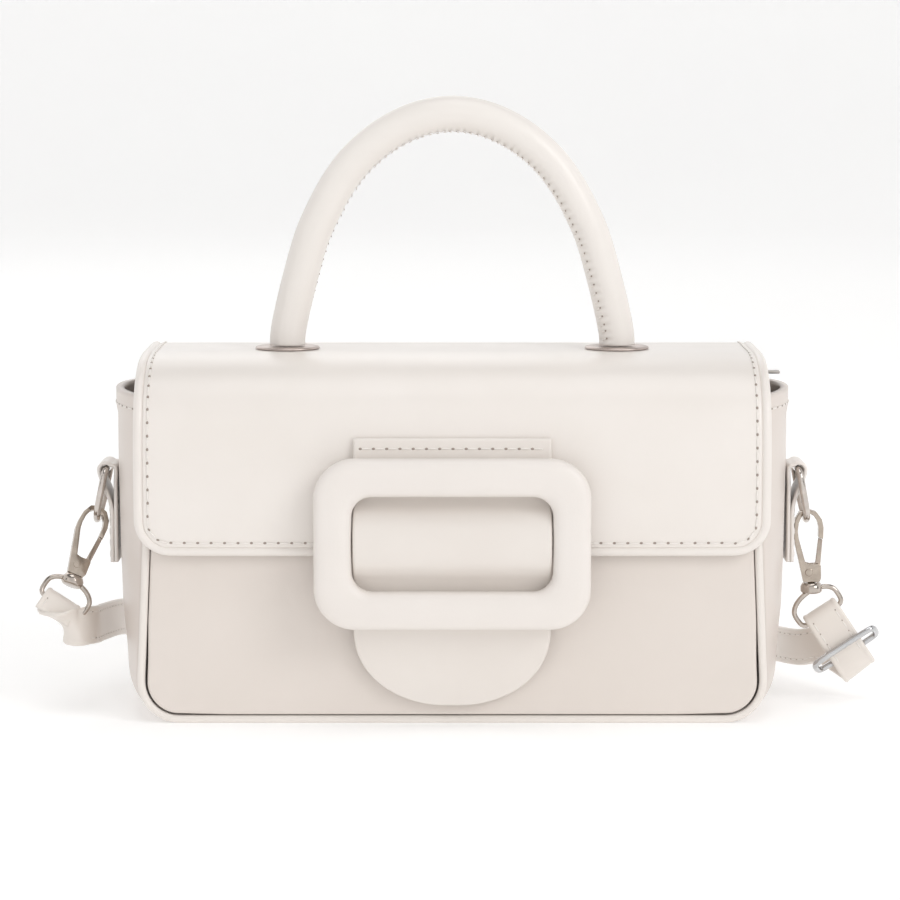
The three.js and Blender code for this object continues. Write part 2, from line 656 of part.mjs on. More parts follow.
function hangAxes(side) {
  const hang = HANG[sideName(side)];
  const lean = degrees(hang.lean);
  const out = degrees(hang.out);
  const up = vec(Math.sin(lean) * Math.cos(out), Math.sin(out), Math.cos(lean) * Math.cos(out));
  const across = vec(Math.cos(lean), 0, -Math.sin(lean));
  const front = up.clone().cross(across).negate();
  return { up, across, front, hang };
}

// The frame of a hook or of its loop: u across, v up its axis, w towards the viewer
function hangFrame(side, turned) {
  const { up, across, front, hang } = hangAxes(side);
  const turn = turned ? degrees(hang.turn) : 0;
  const u = across.clone().applyAxisAngle(up, turn);
  const w = u.clone().cross(up);
  const basis = new THREE.Matrix4().makeBasis(u, up, w);
  const hookTurn = degrees(hang.turn);
  const hookU = across.clone().applyAxisAngle(up, hookTurn);
  const eye = HOOK_TOP - HOOK_WIRE - hang.slack - RING_WIRE / 2;
  const hold = ringBottom(side);
  hold.y -= hang.forward;
  hold.z += RING_HALF_WIDTH - Math.sqrt(RING_HALF_WIDTH ** 2 - hang.forward ** 2);
  const origin = hold.addScaledVector(up, -eye).addScaledVector(hookU, -HOOK_EYE_OFFSET - hang.seat);
  return { basis: basis.setPosition(origin), origin, u, up, w, front, hang };
}

const onPivotCircle = (u, reach) => [u, PIVOT.y + Math.sqrt(reach * reach - (u - PIVOT.x) ** 2)];

function plate(points, thickness, hole) {
  const shape = new THREE.Shape(points.map(([u, v]) => new THREE.Vector2(u, v)));
  if (hole) shape.holes.push(hole);
  const geometry = new THREE.ExtrudeGeometry(shape, { depth: thickness, bevelEnabled: false });
  return geometry.translate(0, 0, -thickness / 2);
}

function pin(radius, length, sides) {
  const geometry = new THREE.CylinderGeometry(radius, radius, length, sides);
  return geometry.rotateX(Math.PI / 2).translate(PIVOT.x, PIVOT.y, 0);
}

const POST_TOP = COLLAR_HEIGHT + CLEARANCE;
const POST_FOOT = COLLAR_HEIGHT - 0.6;

function hookGeometry() {
  const outline = [
    [-2.6, POST_TOP], [2.4, POST_TOP], [3, 4.8], [3, 9], [2.2, 9.6], [-0.4, 9.5], [-1.9, 9.9],
    [-4, 18], [-4.2, 20.3], [-3.9, 22.8], [-3, 24.9], [HOOK_EYE_OFFSET - 0.6, HOOK_TOP - HOOK_WIRE],
    [HOOK_EYE_OFFSET + 0.5, HOOK_TOP - HOOK_WIRE],
    [0.9, 25.1], [2.1, 23.2], [2.5, 21.2], onPivotCircle(2.4, LEVER_REACH + CLEARANCE),
    onPivotCircle(3.8, LEVER_REACH + CLEARANCE), [4, 21.3], [3.5, 23.9], [1.8, 26.3],
    [HOOK_EYE_OFFSET, HOOK_TOP], [-3.6, 26.3], [-5, 23.8], [-5.5, 20.5], [-5.5, 18],
  ];
  const slotWidth = LEVER_THICKNESS + 2 * CLEARANCE;
  const slot = plate([[-2.75, 4.8], [5, 4.8], [5, 11], [-2.75, 11]], slotWidth);
  const head = pin(RIVET_HEAD_RADIUS, HOOK_THICKNESS + 2 * RIVET_HEAD_RISE, 12);
  const post = new THREE.CylinderGeometry(POST_RADIUS, POST_RADIUS, POST_TOP - POST_FOOT + 0.5, 10);
  post.translate(0, (POST_TOP + POST_FOOT + 0.5) / 2, 0);
  const cheeks = toSolid(plate(outline, HOOK_THICKNESS)).add(toSolid(head)).subtract(toSolid(slot));
  return fromSolid(cheeks.add(toSolid(pin(PIVOT_RADIUS, HOOK_THICKNESS, 10))).add(toSolid(post)));
}

function leverGeometry() {
  const bore = new THREE.Path();
  bore.absarc(PIVOT.x, PIVOT.y, PIVOT_RADIUS + CLEARANCE, 0, 2 * Math.PI, true);
  const outline = [
    [-0.85, 5.3], [1.6, 5.6], [2.5, 6.4], [2.9, 9], onPivotCircle(3.7, LEVER_REACH),
    onPivotCircle(2.4, LEVER_REACH), [1.4, 10], [-0.3, 8.6], [-1.6, 8.3], [-2.35, 7.4], [-2.35, 6.4],
    [-1.8, 5.6],
  ];
  const shape = new THREE.Shape(outline.map(([u, v]) => new THREE.Vector2(u, v)));
  shape.holes.push(bore);
  const geometry = new THREE.ExtrudeGeometry(shape, {
    depth: LEVER_THICKNESS, bevelEnabled: false, curveSegments: 5,
  });
  return geometry.translate(0, 0, -LEVER_THICKNESS / 2);
}

function swivelGeometry(side) {
  const { hang } = hangAxes(side);
  const bore = POST_RADIUS + CLEARANCE;
  const profile = [[0, 0], [2.9, 0], [COLLAR_RADIUS, 0.7], [COLLAR_RADIUS, 2.2], [2.8, COLLAR_HEIGHT],
    [bore, COLLAR_HEIGHT], [bore, 2.2], [0, 2.2]];
  const collar = new THREE.LatheGeometry(profile.map(([r, v]) => new THREE.Vector2(r, v)), 14);
  const turn = degrees(hang.loopTurn);
  const points = [];
  const count = 24;
  for (let i = 0; i < count; i++) {
    const angle = (2 * Math.PI * i) / count;
    const squareness = angle > Math.PI ? LOOP_BAR_SQUARENESS : 1;
    const a = LOOP_HALF_WIDTH * Math.sign(Math.cos(angle)) * Math.abs(Math.cos(angle)) ** squareness;
    const b = LOOP_HALF_HEIGHT * Math.sign(Math.sin(angle)) * Math.abs(Math.sin(angle)) ** squareness;
    points.push(vec(hang.loopAcross + a * Math.cos(turn) - b * Math.sin(turn),
      -hang.loopDown + a * Math.sin(turn) + b * Math.cos(turn), 0));
  }
  const loop = closedRing(points, LOOP_WIRE, 6, 36);
  return fromSolid(toSolid(collar).add(toSolid(loop)));
}

function placed(name, geometry, frame, material) {
  const mesh = named(name, geometry, material);
  mesh.applyMatrix4(frame.basis);
  return mesh;
}

// The middle of a wire loop's lower run and the directions of the strap's fold over it
function loopBar(side) {
  const frame = hangFrame(side, false);
  const turn = degrees(frame.hang.loopTurn);
  const u = frame.hang.loopAcross + LOOP_HALF_HEIGHT * Math.sin(turn);
  const v = -frame.hang.loopDown - LOOP_HALF_HEIGHT * Math.cos(turn);
  const wide = frame.u.clone().multiplyScalar(Math.cos(turn)).addScaledVector(frame.up, Math.sin(turn));
  const centre = frame.origin.clone().addScaledVector(frame.u, u).addScaledVector(frame.up, v);
  return { centre, wide };
}

const FOLD_RADIUS = LOOP_WIRE / 2 + 2 * CLEARANCE + STRAP_WALL / 2;

// Right end of the strap: one layer down the front to the turn, one short layer behind
const RIGHT_END = { slider: 12.6, turn: 21.5, shortLayer: 9.5 };

function rightEnd() {
  const { centre, wide } = loopBar(1);
  const down = vec(wide.z, 0, -wide.x).normalize();
  const front = vec(0, -1, 0);
  return { centre, wide, down, front };
}

// Left end: the crease where the strap turns back, from the middle of the loop's lower run, with
// the lean of the strap's width
const LEFT_CREASE = [
  { x: 9.6, y: 10, z: -9.2, leanX: 0.02, leanZ: 1 }, { x: 8.6, y: 1.5, z: -9.6, leanX: 0.12, leanZ: 0.99 },
  { x: 6, y: -5.2, z: -9.2, leanX: 0.34, leanZ: 0.94 }, { x: 1.4, y: -4.8, z: -7, leanX: 0.66, leanZ: 0.74 },
];

// The strap's stations from right to left: its centre and the direction of its width
function strapStations() {
  const { centre, wide, down, front } = rightEnd();
  const at = (along, out) => centre.clone().addScaledVector(down, along).addScaledVector(front, out);
  const stations = [];
  const add = (point, width) => stations.push({ point, width: width.clone().normalize() });
  add(at(RIGHT_END.shortLayer, -FOLD_RADIUS), wide);
  add(at(RIGHT_END.shortLayer / 2, -FOLD_RADIUS), wide);
  for (let i = 0; i <= 6; i++) {
    const angle = Math.PI * (i / 6);
    add(at(-FOLD_RADIUS * Math.sin(angle), -FOLD_RADIUS * Math.cos(angle)), wide);
  }
  add(at(RIGHT_END.slider / 2, FOLD_RADIUS), wide);
  add(at(RIGHT_END.slider, FOLD_RADIUS - 0.6), wide);
  add(at(RIGHT_END.turn - 2.6, FOLD_RADIUS - 1.2), wide);
  const tip = RIGHT_END.turn;
  add(at(tip - 0.3, -0.4), vec(wide.x, 0, wide.z + 0.1));
  add(at(tip - 0.6, -3.6), vec(wide.x, 0, wide.z + 0.2));
  add(at(tip - 3.2, -8).add(vec(-2.2, 0, 0)), vec(0.5, 0, 0.85));
  const halfWidth = STRAP_WIDTH / 2 + CLEARANCE;
  const upright = vec(0, 0, 1);
  add(vec(SIDE_FACE + 14.6, 15, centre.z - 12.6), vec(0.22, 0, 1));
  add(vec(SIDE_FACE + 8.5, 27, halfWidth + 6), upright);
  add(vec(SIDE_FACE + 3, 44, halfWidth + 4), upright);
  add(vec(SIDE_FACE - 2, 76, halfWidth + 0.3), upright);
  add(vec(STRAP_BAY_HALF + 4, 150, halfWidth), upright);
  add(vec(STRAP_BAY_HALF, 230, halfWidth), upright);
  const bayCentre = STRAP_REACH - STRAP_BAY_HALF;
  for (let i = 0; i <= 8; i++) {
    const angle = Math.PI * (i / 8);
    const back = bayCentre + STRAP_BAY_HALF * Math.sin(angle);
    add(vec(STRAP_BAY_HALF * Math.cos(angle), back, halfWidth), upright);
  }
  add(vec(-STRAP_BAY_HALF, 230, halfWidth), upright);
  add(vec(-STRAP_BAY_HALF - 4, 150, halfWidth), upright);
  add(vec(-SIDE_FACE + 1, 84, halfWidth + 2.5), upright);
  add(vec(-SIDE_FACE - 3, 42, halfWidth + 13.6), upright);
  add(vec(-SIDE_FACE - 6.6, 10, halfWidth + 17.6), vec(-0.06, 0, 1));
  const left = loopBar(-1);
  const downward = vec(left.wide.z, 0, -left.wide.x).normalize();
  const forward = left.wide.clone().cross(downward).normalize();
  if (forward.y > 0) forward.negate();
  const leave = downward.multiplyScalar(0.9).addScaledVector(forward, 0.44).normalize();
  const facing = left.wide.clone().cross(leave).normalize();
  if (facing.y > 0) facing.negate();
  const from = (along, out) => left.centre.clone().addScaledVector(leave, along).addScaledVector(facing, out);
  const backward = left.wide.clone().negate();
  for (const row of LEFT_CREASE) {
    add(left.centre.clone().add(vec(row.x, row.y, row.z)), vec(-row.leanX, 0, row.leanZ));
  }
  add(from(2, -FOLD_RADIUS), backward);
  for (let i = 0; i <= 6; i++) {
    const angle = Math.PI * (i / 6);
    add(from(-FOLD_RADIUS * Math.sin(angle), -FOLD_RADIUS * Math.cos(angle)), backward);
  }
  add(from(2.5, FOLD_RADIUS), backward);
  add(from(5, FOLD_RADIUS - 0.2), backward);
  return stations;
}

function shoulderStrap() {
  const stations = strapStations();
  const centres = new THREE.CatmullRomCurve3(stations.map((s) => s.point), false, 'centripetal');
  const widths = new THREE.CatmullRomCurve3(stations.map((s) => s.width), false, 'centripetal');
  const grids = [[], []];
  const spans = stations.length - 1;
  const perSpan = 2;
  for (let i = 0; i <= spans * perSpan; i++) {
    const t = i / (spans * perSpan);
    const centre = centres.getPoint(t);
    const along = centres.getTangent(t);
    const width = widths.getPoint(t);
    width.addScaledVector(along, -width.dot(along)).normalize();
    const normal = along.clone().cross(width);
    grids.forEach((grid, k) => {
      const offset = (k ? -1 : 1) * (STRAP_WALL / 2);
      grid.push([-1, 1].map((end) => centre.clone().addScaledVector(width, (end * STRAP_WIDTH) / 2)
        .addScaledVector(normal, offset)));
    });
  }
  return named('shoulder_strap', wallBetween(grids[0], grids[1]), offWhiteLeather(0xe8e2dc));
}

function strapSlider() {
  const { centre, wide, down, front } = rightEnd();
  const corner = 2;
  const outline = roundedRectangle(2 * SLIDER_HALF_LENGTH, 2 * SLIDER_HALF_DEPTH, corner, 3).getPoints();
  const middle = centre.clone().addScaledVector(down, RIGHT_END.slider + 0.6)
    .addScaledVector(front, FOLD_RADIUS - 2.2);
  const depth = front.clone().addScaledVector(down, -0.35).normalize();
  const points = outline.map((p) => middle.clone().addScaledVector(wide, p.x).addScaledVector(depth, p.y));
  return named('strap_slider', closedRing(points, SLIDER_WIRE, 6, 40), nickel(0xcfccca));
}

const bag = new THREE.Group();

const body = new THREE.Group();
body.add(frontPanel(), gusset(), backPanelAndFlap(), flapEdgeRoll());
body.add(piping('front_piping', -1), piping('back_piping', 1));
body.add(topFacing('top_facing_front', -1), topFacing('top_facing_back', 1));
body.add(zipTape(), zipTeeth(), zipSlider());
bag.add(body);

bag.add(handle(), handleWasher('handle_washer_left', -1), handleWasher('handle_washer_right', 1));
bag.add(buckleFrame(), buckleTab());

for (const side of [-1, 1]) {
  const where = sideName(side);
  const hookFrame = hangFrame(side, true);
  const loopFrame = hangFrame(side, false);
  bag.add(sideTab(`side_tab_${where}`, side), dRing(`d_ring_${where}`, side));
  bag.add(placed(`clasp_hook_${where}`, hookGeometry(), hookFrame, nickel()));
  bag.add(placed(`clasp_lever_${where}`, leverGeometry(), hookFrame, nickel(0xb0a196)));
  bag.add(placed(`clasp_swivel_${where}`, swivelGeometry(side), loopFrame, nickel()));
}

bag.add(shoulderStrap(), strapSlider());

export default bag;
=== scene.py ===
import math
import bmesh
import bpy
from mathutils import Matrix, Vector


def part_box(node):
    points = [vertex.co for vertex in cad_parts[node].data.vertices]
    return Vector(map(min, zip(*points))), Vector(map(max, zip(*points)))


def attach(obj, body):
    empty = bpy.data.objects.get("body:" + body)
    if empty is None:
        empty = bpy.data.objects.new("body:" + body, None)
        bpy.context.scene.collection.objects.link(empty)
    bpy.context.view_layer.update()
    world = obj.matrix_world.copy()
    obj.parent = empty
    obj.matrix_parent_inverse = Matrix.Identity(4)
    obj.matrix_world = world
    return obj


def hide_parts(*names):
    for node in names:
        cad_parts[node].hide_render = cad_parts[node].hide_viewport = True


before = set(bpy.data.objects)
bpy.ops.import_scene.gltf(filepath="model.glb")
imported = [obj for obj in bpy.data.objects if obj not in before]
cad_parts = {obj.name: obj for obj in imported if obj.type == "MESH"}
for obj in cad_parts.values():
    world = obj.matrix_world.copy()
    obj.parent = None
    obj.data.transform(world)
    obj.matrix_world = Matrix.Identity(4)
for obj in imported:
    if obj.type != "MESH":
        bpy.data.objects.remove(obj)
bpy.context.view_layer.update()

# ---------------------------------------------------------------- studio
# A seamless white dish of painted board stands round the bag. Four big soft boxes light it: the key
# from the front right, a weak fill from the left, one behind, and one overhead for the band of
# light on the flap's rounded top.
MM = 0.001


def linear(code):
    """An sRGB hex colour as linear RGBA."""
    channels = [int(code[i:i + 2], 16) / 255 for i in (1, 3, 5)]
    return [*(c / 12.92 if c <= 0.04045 else ((c + 0.055) / 1.055) ** 2.4 for c in channels), 1.0]


def add(material, kind, inputs=(), **settings):
    """Adds a shader node with its settings. Inputs hold values, or the sockets that feed them."""
    made = material.node_tree.nodes.new(kind)
    for key, value in settings.items():
        setattr(made, key, value)
    for socket, value in dict(inputs).items():
        if isinstance(value, bpy.types.NodeSocket):
            material.node_tree.links.new(value, made.inputs[socket])
        else:
            made.inputs[socket].default_value = value
    return made


def new_material(name, sockets):
    """A material with its shader's own sockets set, and the object's coordinates for patterns."""
    material = bpy.data.materials.new(name)
    material.use_nodes = True
    shader = material.node_tree.nodes["Principled BSDF"]
    for socket, value in sockets.items():
        shader.inputs[socket].default_value = value
    return material, shader, add(material, "ShaderNodeTexCoord").outputs["Object"]


def feed(material, shader, **sockets):
    """Links sockets into a shader's inputs, named with underscores for spaces."""
    for socket, value in sockets.items():
        material.node_tree.links.new(value, shader.inputs[socket.replace("_", " ")])


def noise(material, coords, scale, detail=2):
    """Smooth noise from 0 to 1."""
    return add(material, "ShaderNodeTexNoise", {"Vector": coords, "Scale": scale,
                                                "Detail": detail}).outputs["Fac"]


def blend(material, factor, low, high):
    """A colour between two hex codes."""
    return add(material, "ShaderNodeMix", {"Factor": factor, "A": linear(low), "B": linear(high)},
               data_type="RGBA").outputs["Result"]


def as_object(name, shape, *materials):
    """Makes an object at the origin from a bmesh, with smooth faces."""
    mesh = bpy.data.meshes.new(name)
    shape.to_mesh(mesh)
    shape.free()
    for material in materials:
        mesh.materials.append(material)
    mesh.shade_smooth()
    made = bpy.data.objects.new(name, mesh)
    bpy.context.scene.collection.objects.link(made)
    return made


def spun(profile, steps):
    """A profile of (radius, height) points turned once round Z, closed at its poles."""
    shape = bmesh.new()
    verts = [shape.verts.new((radius, 0, height)) for radius, height in profile]
    edges = [shape.edges.new(pair) for pair in zip(verts, verts[1:])]
    bmesh.ops.spin(shape, geom=verts + edges, cent=(0, 0, 0), axis=(0, 0, 1), angle=2 * math.pi,
                   steps=steps, use_merge=True)
    bmesh.ops.remove_doubles(shape, verts=shape.verts[:], dist=1e-7)
    bmesh.ops.recalc_face_normals(shape, faces=shape.faces[:])
    return shape


# Matt white paint on board: bright and even, with only a breath of tooth in it.
board, shader, coords = new_material("matt_white_board", {
    "Roughness": 0.85, "Specular IOR Level": 0.2, "Emission Color": (1, 1, 1, 1),
    "Emission Strength": 0.33})
feed(board, shader, Base_Color=blend(board, noise(board, coords, 3), "#e6e5e5", "#e8e8e7"))

COVE = 0.7
WALL_AT = 3.4
cove = [(WALL_AT - COVE + COVE * math.sin(math.radians(a)), COVE - COVE * math.cos(math.radians(a)))
        for a in range(0, 91, 6)]
floor_to_wall = [(0, 0), (0.6, 0), (1.6, 0), *cove, (WALL_AT, 4)]
as_object("studio_dish", spun(floor_to_wall, 96), board)

# A black cloth flag stands well to either side of the camera: polished metal shows dark streaks.
FLAG_OUT = 2.7
FLAG_MIDDLE = 0.9
FLAG_WIDTH = 0.7
FLAG_HEIGHT = 1.7
black_cloth, shader, coords = new_material("black_flag_cloth", {"Roughness": 0.95})
weave = noise(black_cloth, coords, 400)
feed(black_cloth, shader, Base_Color=blend(black_cloth, weave, "#0c0c0d", "#1a1a1b"))
for name, azimuth in (("flag_left", -68), ("flag_right", 68)):
    flag = bmesh.new()
    bmesh.ops.create_grid(flag, x_segments=1, y_segments=1, size=0.5)
    bmesh.ops.transform(flag, verts=flag.verts[:],
                        matrix=Matrix.Rotation(math.radians(azimuth), 4, "Z")
                        @ Matrix.Translation((0, -FLAG_OUT, FLAG_MIDDLE))
                        @ Matrix.Rotation(math.radians(90), 4, "X")
                        @ Matrix.Diagonal((FLAG_WIDTH, FLAG_HEIGHT, 1, 1)))
    as_object(name, flag, black_cloth)

SOFT_BOXES = [
    {"name": "key", "at": (1.5, -1.35, 1.25), "size": 1.0, "power": 11.5},
    {"name": "fill", "at": (-1.7, -1.1, 0.8), "size": 1.4, "power": 1},
    {"name": "overhead", "at": (0.1, -0.25, 1.9), "size": 1.3, "power": 8.5},
    {"name": "behind", "at": (-0.5, 1.9, 1.4), "size": 1.4, "power": 4},
]
for row in SOFT_BOXES:
    lamp = bpy.data.lights.new(row["name"], "AREA")
    lamp.shape = "SQUARE"
    lamp.size = row["size"]
    lamp.energy = row["power"]
    box = bpy.data.objects.new(row["name"], lamp)
    box.location = row["at"]
    box.rotation_euler = (Vector((0, 0, 0.08)) - box.location).to_track_quat("-Z", "Y").to_euler()
    bpy.context.scene.collection.objects.link(box)

world = bpy.data.worlds.new("white_room")
world.use_nodes = True
world.node_tree.nodes["Background"].inputs["Color"].default_value = (1, 1, 1, 1)
world.node_tree.nodes["Background"].inputs["Strength"].default_value = 0.24
bpy.context.scene.world = world
bpy.context.scene.view_settings.view_transform = "Standard"

# The camera stands a metre away, 7 degrees above the bag's middle.
lens = bpy.data.cameras.new("camera")
lens.lens = 125.6
lens.sensor_width = 36
camera = bpy.data.objects.new("camera", lens)
camera.location = (-0.0007, -0.9925, 0.2029)
camera.rotation_euler = (math.radians(83), 0, 0)
bpy.context.scene.collection.objects.link(camera)
bpy.context.scene.camera = camera

# ---------------------------------------------------------------- front panel
# The front wall: smooth coated off-white leather over board, its edges turned in to the seam. It
# is a little crowned, and it lies in the flap's shade.
BODY_HEIGHT = 101.5
BODY_HALF_DEPTH = 35
SEAM_TOP_HALF = 93.5
SEAM_BASE_HALF = 97.6
SEAM_CORNER = 13
PIPING = 2.5
PANEL_INSET = PIPING + 0.6
WALL = 2.4
PANEL_FACE = BODY_HALF_DEPTH + 1
PANEL_CROWN = 1.2


def ranged(material, value, low, high):
    """A value from 0 to 1, spread from low to high."""
    return add(material, "ShaderNodeMapRange", {"Value": value, "To Min": low,
                                                "To Max": high}).outputs["Result"]


def relief(material, height, strength, distance, **under):
    """A normal with a height of this many mm worked into it."""
    return add(material, "ShaderNodeBump", {"Height": height, "Strength": strength,
                                            "Distance": distance * MM, **under}).outputs["Normal"]


def leather(name, tone, deep, roughness=0.34, folds=0.5):
    """Coated calf with a plated finish: almost smooth, so that it throws broad, soft highlights
    that waver a little where the hide gives. Its grain is about half a millimetre, drawn at 0.7
    to show, and the hide's slow waves are about 25 mm long. IOR 1.48, roughness 0.3 to 0.4."""
    made, shader, coords = new_material(name, {"IOR": 1.48, "Coat Weight": 0.12,
                                               "Coat Roughness": 0.22})
    mottle = noise(made, coords, 28, 3)
    waves = noise(made, coords, 1 / (25 * MM), 1.5)
    grain = add(made, "ShaderNodeTexVoronoi", {"Vector": coords, "Scale": 1 / (0.7 * MM)})
    pores = noise(made, coords, 1 / (0.3 * MM))
    fine = add(made, "ShaderNodeMath", {0: grain.outputs["Distance"], 1: pores}).outputs["Value"]
    give = relief(made, waves, folds, 0.9)
    feed(made, shader, Base_Color=blend(made, mottle, tone, deep),
         Roughness=ranged(made, mottle, roughness - 0.05, roughness + 0.06),
         Normal=relief(made, fine, 0.35, 0.03, Normal=give))
    return made


def seam_half(height, inset=0):
    """Half the width of the seam line between a panel and the gusset."""
    radius = SEAM_CORNER - inset
    if height - inset < radius:
        rise = radius - max(height - inset, 0)
        return SEAM_BASE_HALF - SEAM_CORNER + math.sqrt(max(radius ** 2 - rise ** 2, 0))
    share = (height - SEAM_CORNER) / (BODY_HEIGHT - SEAM_CORNER)
    return SEAM_BASE_HALF - inset + (SEAM_TOP_HALF - SEAM_BASE_HALF) * share


def to_edges(share):
    """A share from 0 to 1, drawn towards both ends so that rows crowd where edges turn."""
    return 0.5 - 0.5 * math.cos(math.pi * share)


def turned_in(distance, radius):
    """How far a face has sunk at a distance from an edge that turns over with that radius."""
    reach = max(0, 1 - distance / radius)
    return radius * (1 - math.sqrt(max(0, 1 - reach ** 2)))


def laid_sheet(columns, rows, place, wall, core=(0, 0, 50)):
    """A grid laid where the piece's own rule says, given a wall on the side towards its core."""
    shape = bmesh.new()
    bmesh.ops.create_grid(shape, x_segments=columns, y_segments=rows, size=0.5)
    for vert in shape.verts:
        vert.co = Vector(place(vert.co.x + 0.5, vert.co.y + 0.5)) * MM
    shape.normal_update()
    outward = sum(f.normal.dot(f.calc_center_median() - Vector(core) * MM) * f.calc_area()
                  for f in shape.faces)
    if outward < 0:
        bmesh.ops.reverse_faces(shape, faces=shape.faces[:])
    bmesh.ops.solidify(shape, geom=shape.faces[:], thickness=wall * MM)
    return shape


def settle(made, slot, *nodes, body="bag"):
    """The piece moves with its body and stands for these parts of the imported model."""
    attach(made, body)
    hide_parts(*nodes)


def dress(name, shape, material, slot, *nodes):
    """Makes a piece of the bag's body from a bmesh, and settles it."""
    settle(as_object(name, shape, material), slot, *nodes)


def panel_height(share):
    return PANEL_INSET + (BODY_HEIGHT - 2 - PANEL_INSET) * to_edges(share)


def front_face(across, along):
    z = panel_height(along)
    half = seam_half(z, PANEL_INSET)
    share = 2 * to_edges(across) - 1
    crown = PANEL_CROWN * math.sin(math.pi * z / BODY_HEIGHT) * (1 - share ** 4)
    edge = min(half * (1 - abs(share)), z - PANEL_INSET)
    half += 0.4 * min(1, max(0, (z - 20) / 12))
    snug = min(1, max(0, (SEAM_BASE_HALF - SEAM_CORNER - abs(share) * half) / 14))
    z -= 0.35 * snug * max(0, 1 - (z - PANEL_INSET) / 6)
    return share * half, -PANEL_FACE - crown + turned_in(edge, 0.8), z


# Its tone is darker than the flap's: painted shade, for the shadow that the flap casts on it.
front_leather = leather("shaded_front_calf", "#e6ddd6", "#dfd6ce")
dress("front_panel_leather", laid_sheet(72, 60, front_face, WALL), front_leather, "leather",
      "front_panel")

# ---------------------------------------------------------------- gusset
# One long strip of the same leather makes both sides and the base. It swells past the seams more
# and more towards the top, where its rim is hemmed and stitched.
BULGE = [
    {"height": 0, "bulge": 0}, {"height": 0.064, "bulge": 0.36}, {"height": 0.13, "bulge": 0.43},
    {"height": 0.2, "bulge": 0.5}, {"height": 0.33, "bulge": 0.66}, {"height": 0.47, "bulge": 0.75},
    {"height": 0.79, "bulge": 0.92}, {"height": 1, "bulge": 1},
]
GUSSET_BULGE = 12.3
GUSSET_HALF_DEPTH = BODY_HALF_DEPTH - PIPING / 2 - 0.05
HEM = 4.5


def smooth_line(knots, step, closed=False):
    """Points about a step apart on a centripetal Catmull-Rom line through the knots."""
    knots = [Vector(k) for k in knots]
    first, last = (knots[-1], knots[0]) if closed else (2 * knots[0] - knots[1],
                                                        2 * knots[-1] - knots[-2])
    ring = [first, *knots, last, *([knots[1]] if closed else [])]
    fine = []
    for a, b, c, d in zip(ring, ring[1:], ring[2:], ring[3:]):
        t1 = (b - a).length ** 0.5
        t2 = t1 + (c - b).length ** 0.5
        t3 = t2 + (d - c).length ** 0.5
        parts = max(2, round(4 * (c - b).length / step))
        for i in range(parts):
            t = t1 + (t2 - t1) * i / parts
            ab = a.lerp(b, t / t1)
            bc = b.lerp(c, (t - t1) / (t2 - t1))
            cd = c.lerp(d, (t - t2) / (t3 - t2))
            fine.append(ab.lerp(bc, t / t2).lerp(bc.lerp(cd, (t - t1) / (t3 - t1)),
                                                 (t - t1) / (t2 - t1)))
    fine.append(knots[0] if closed else knots[-1])
    lengths = [0]
    for a, b in zip(fine, fine[1:]):
        lengths.append(lengths[-1] + (b - a).length)
    count = max(2, round(lengths[-1] / step))
    even, at = [], 0
    for i in range(count + 1):
        want = lengths[-1] * i / count
        while at < len(lengths) - 2 and lengths[at + 1] < want:
            at += 1
        span = lengths[at + 1] - lengths[at]
        even.append(fine[at].lerp(fine[at + 1], (want - lengths[at]) / span if span else 0))
    return even[:-1] if closed else even


def pick(line, share):
    """A point of a list of points, at a share from 0 to 1 of its length."""
    place = min(max(share, 0), 1) * (len(line) - 1)
    low = min(int(place), len(line) - 2)
    return line[low].lerp(line[low + 1], place - low)


def bulge_at(height):
    share = height / BODY_HEIGHT
    for low, high in zip(BULGE, BULGE[1:]):
        if share <= high["height"] or high is BULGE[-1]:
            part = min(max((share - low["height"]) / (high["height"] - low["height"]), 0), 1)
            return GUSSET_BULGE * (low["bulge"] + (high["bulge"] - low["bulge"]) * part)


def seam_points(inset, top):
    """The seam from the top left, round under the base and up to the top right, from the front."""
    radius = SEAM_CORNER - inset
    centre = SEAM_BASE_HALF - SEAM_CORNER
    down = [top + (SEAM_CORNER - top) * i / 8 for i in range(9)]
    left = [(-seam_half(z, inset), z) for z in down]
    left += [(-centre - radius * math.cos(turn), SEAM_CORNER - radius * math.sin(turn))
             for turn in (math.pi / 16 * i for i in range(1, 9))]
    base = [(share * centre, inset) for share in (-0.97, -0.5, 0, 0.5, 0.97)]
    return [(x, 0, z) for x, z in [*left, *base, *((-x, z) for x, z in reversed(left))]]


gusset_seam = smooth_line(seam_points(0, BODY_HEIGHT), 1)


def gusset_face(across, along):
    point = pick(gusset_seam, across)
    step = pick(gusset_seam, across + 0.004) - pick(gusset_seam, across - 0.004)
    out = Vector((step.z, 0, -step.x)).normalized()
    share = 2 * along - 1
    offset = bulge_at(point.z) * (1 - abs(share) ** 2.4) * abs(out.x)
    hem = 0.5 * (1 - min(1, max(0, (BODY_HEIGHT - HEM - 1.5 - point.z)) / 1.5))
    edge = BODY_HEIGHT - point.z
    if abs(out.x) < 0.7:
        hem = edge = 0
    sunk = turned_in(edge, 0.9) if edge else 0
    return point + out * (offset + hem - sunk) + Vector((0, share * GUSSET_HALF_DEPTH, 0))


# Its tone is darker than the flap's: painted shade for the sides and base, which the lamps light less
# than the flap's top.
shaded_gusset_leather = leather("shaded_side_strip_calf", "#e2d9d2", "#d8cdc5", roughness=0.38, folds=0.7)
dress("shaded_gusset_leather", laid_sheet(290, 36, gusset_face, WALL), shaded_gusset_leather, "leather",
      "gusset")

# Thread: bonded polyester in the leather's colour, sewn in stitches about 3 mm long. Each sinks a
# little at its ends, where the needle has left a small hole, drawn as a dark disc of painted shade.
thread, shader, coords = new_material("bonded_polyester_thread", {"IOR": 1.5, "Sheen Weight": 0.3})
ply = noise(thread, coords, 1 / (0.4 * MM), 1)
feed(thread, shader, Base_Color=blend(thread, ply, "#e9e2db", "#f4f0ec"),
     Normal=relief(thread, ply, 0.5, 0.1), Roughness=ranged(thread, ply, 0.45, 0.65))
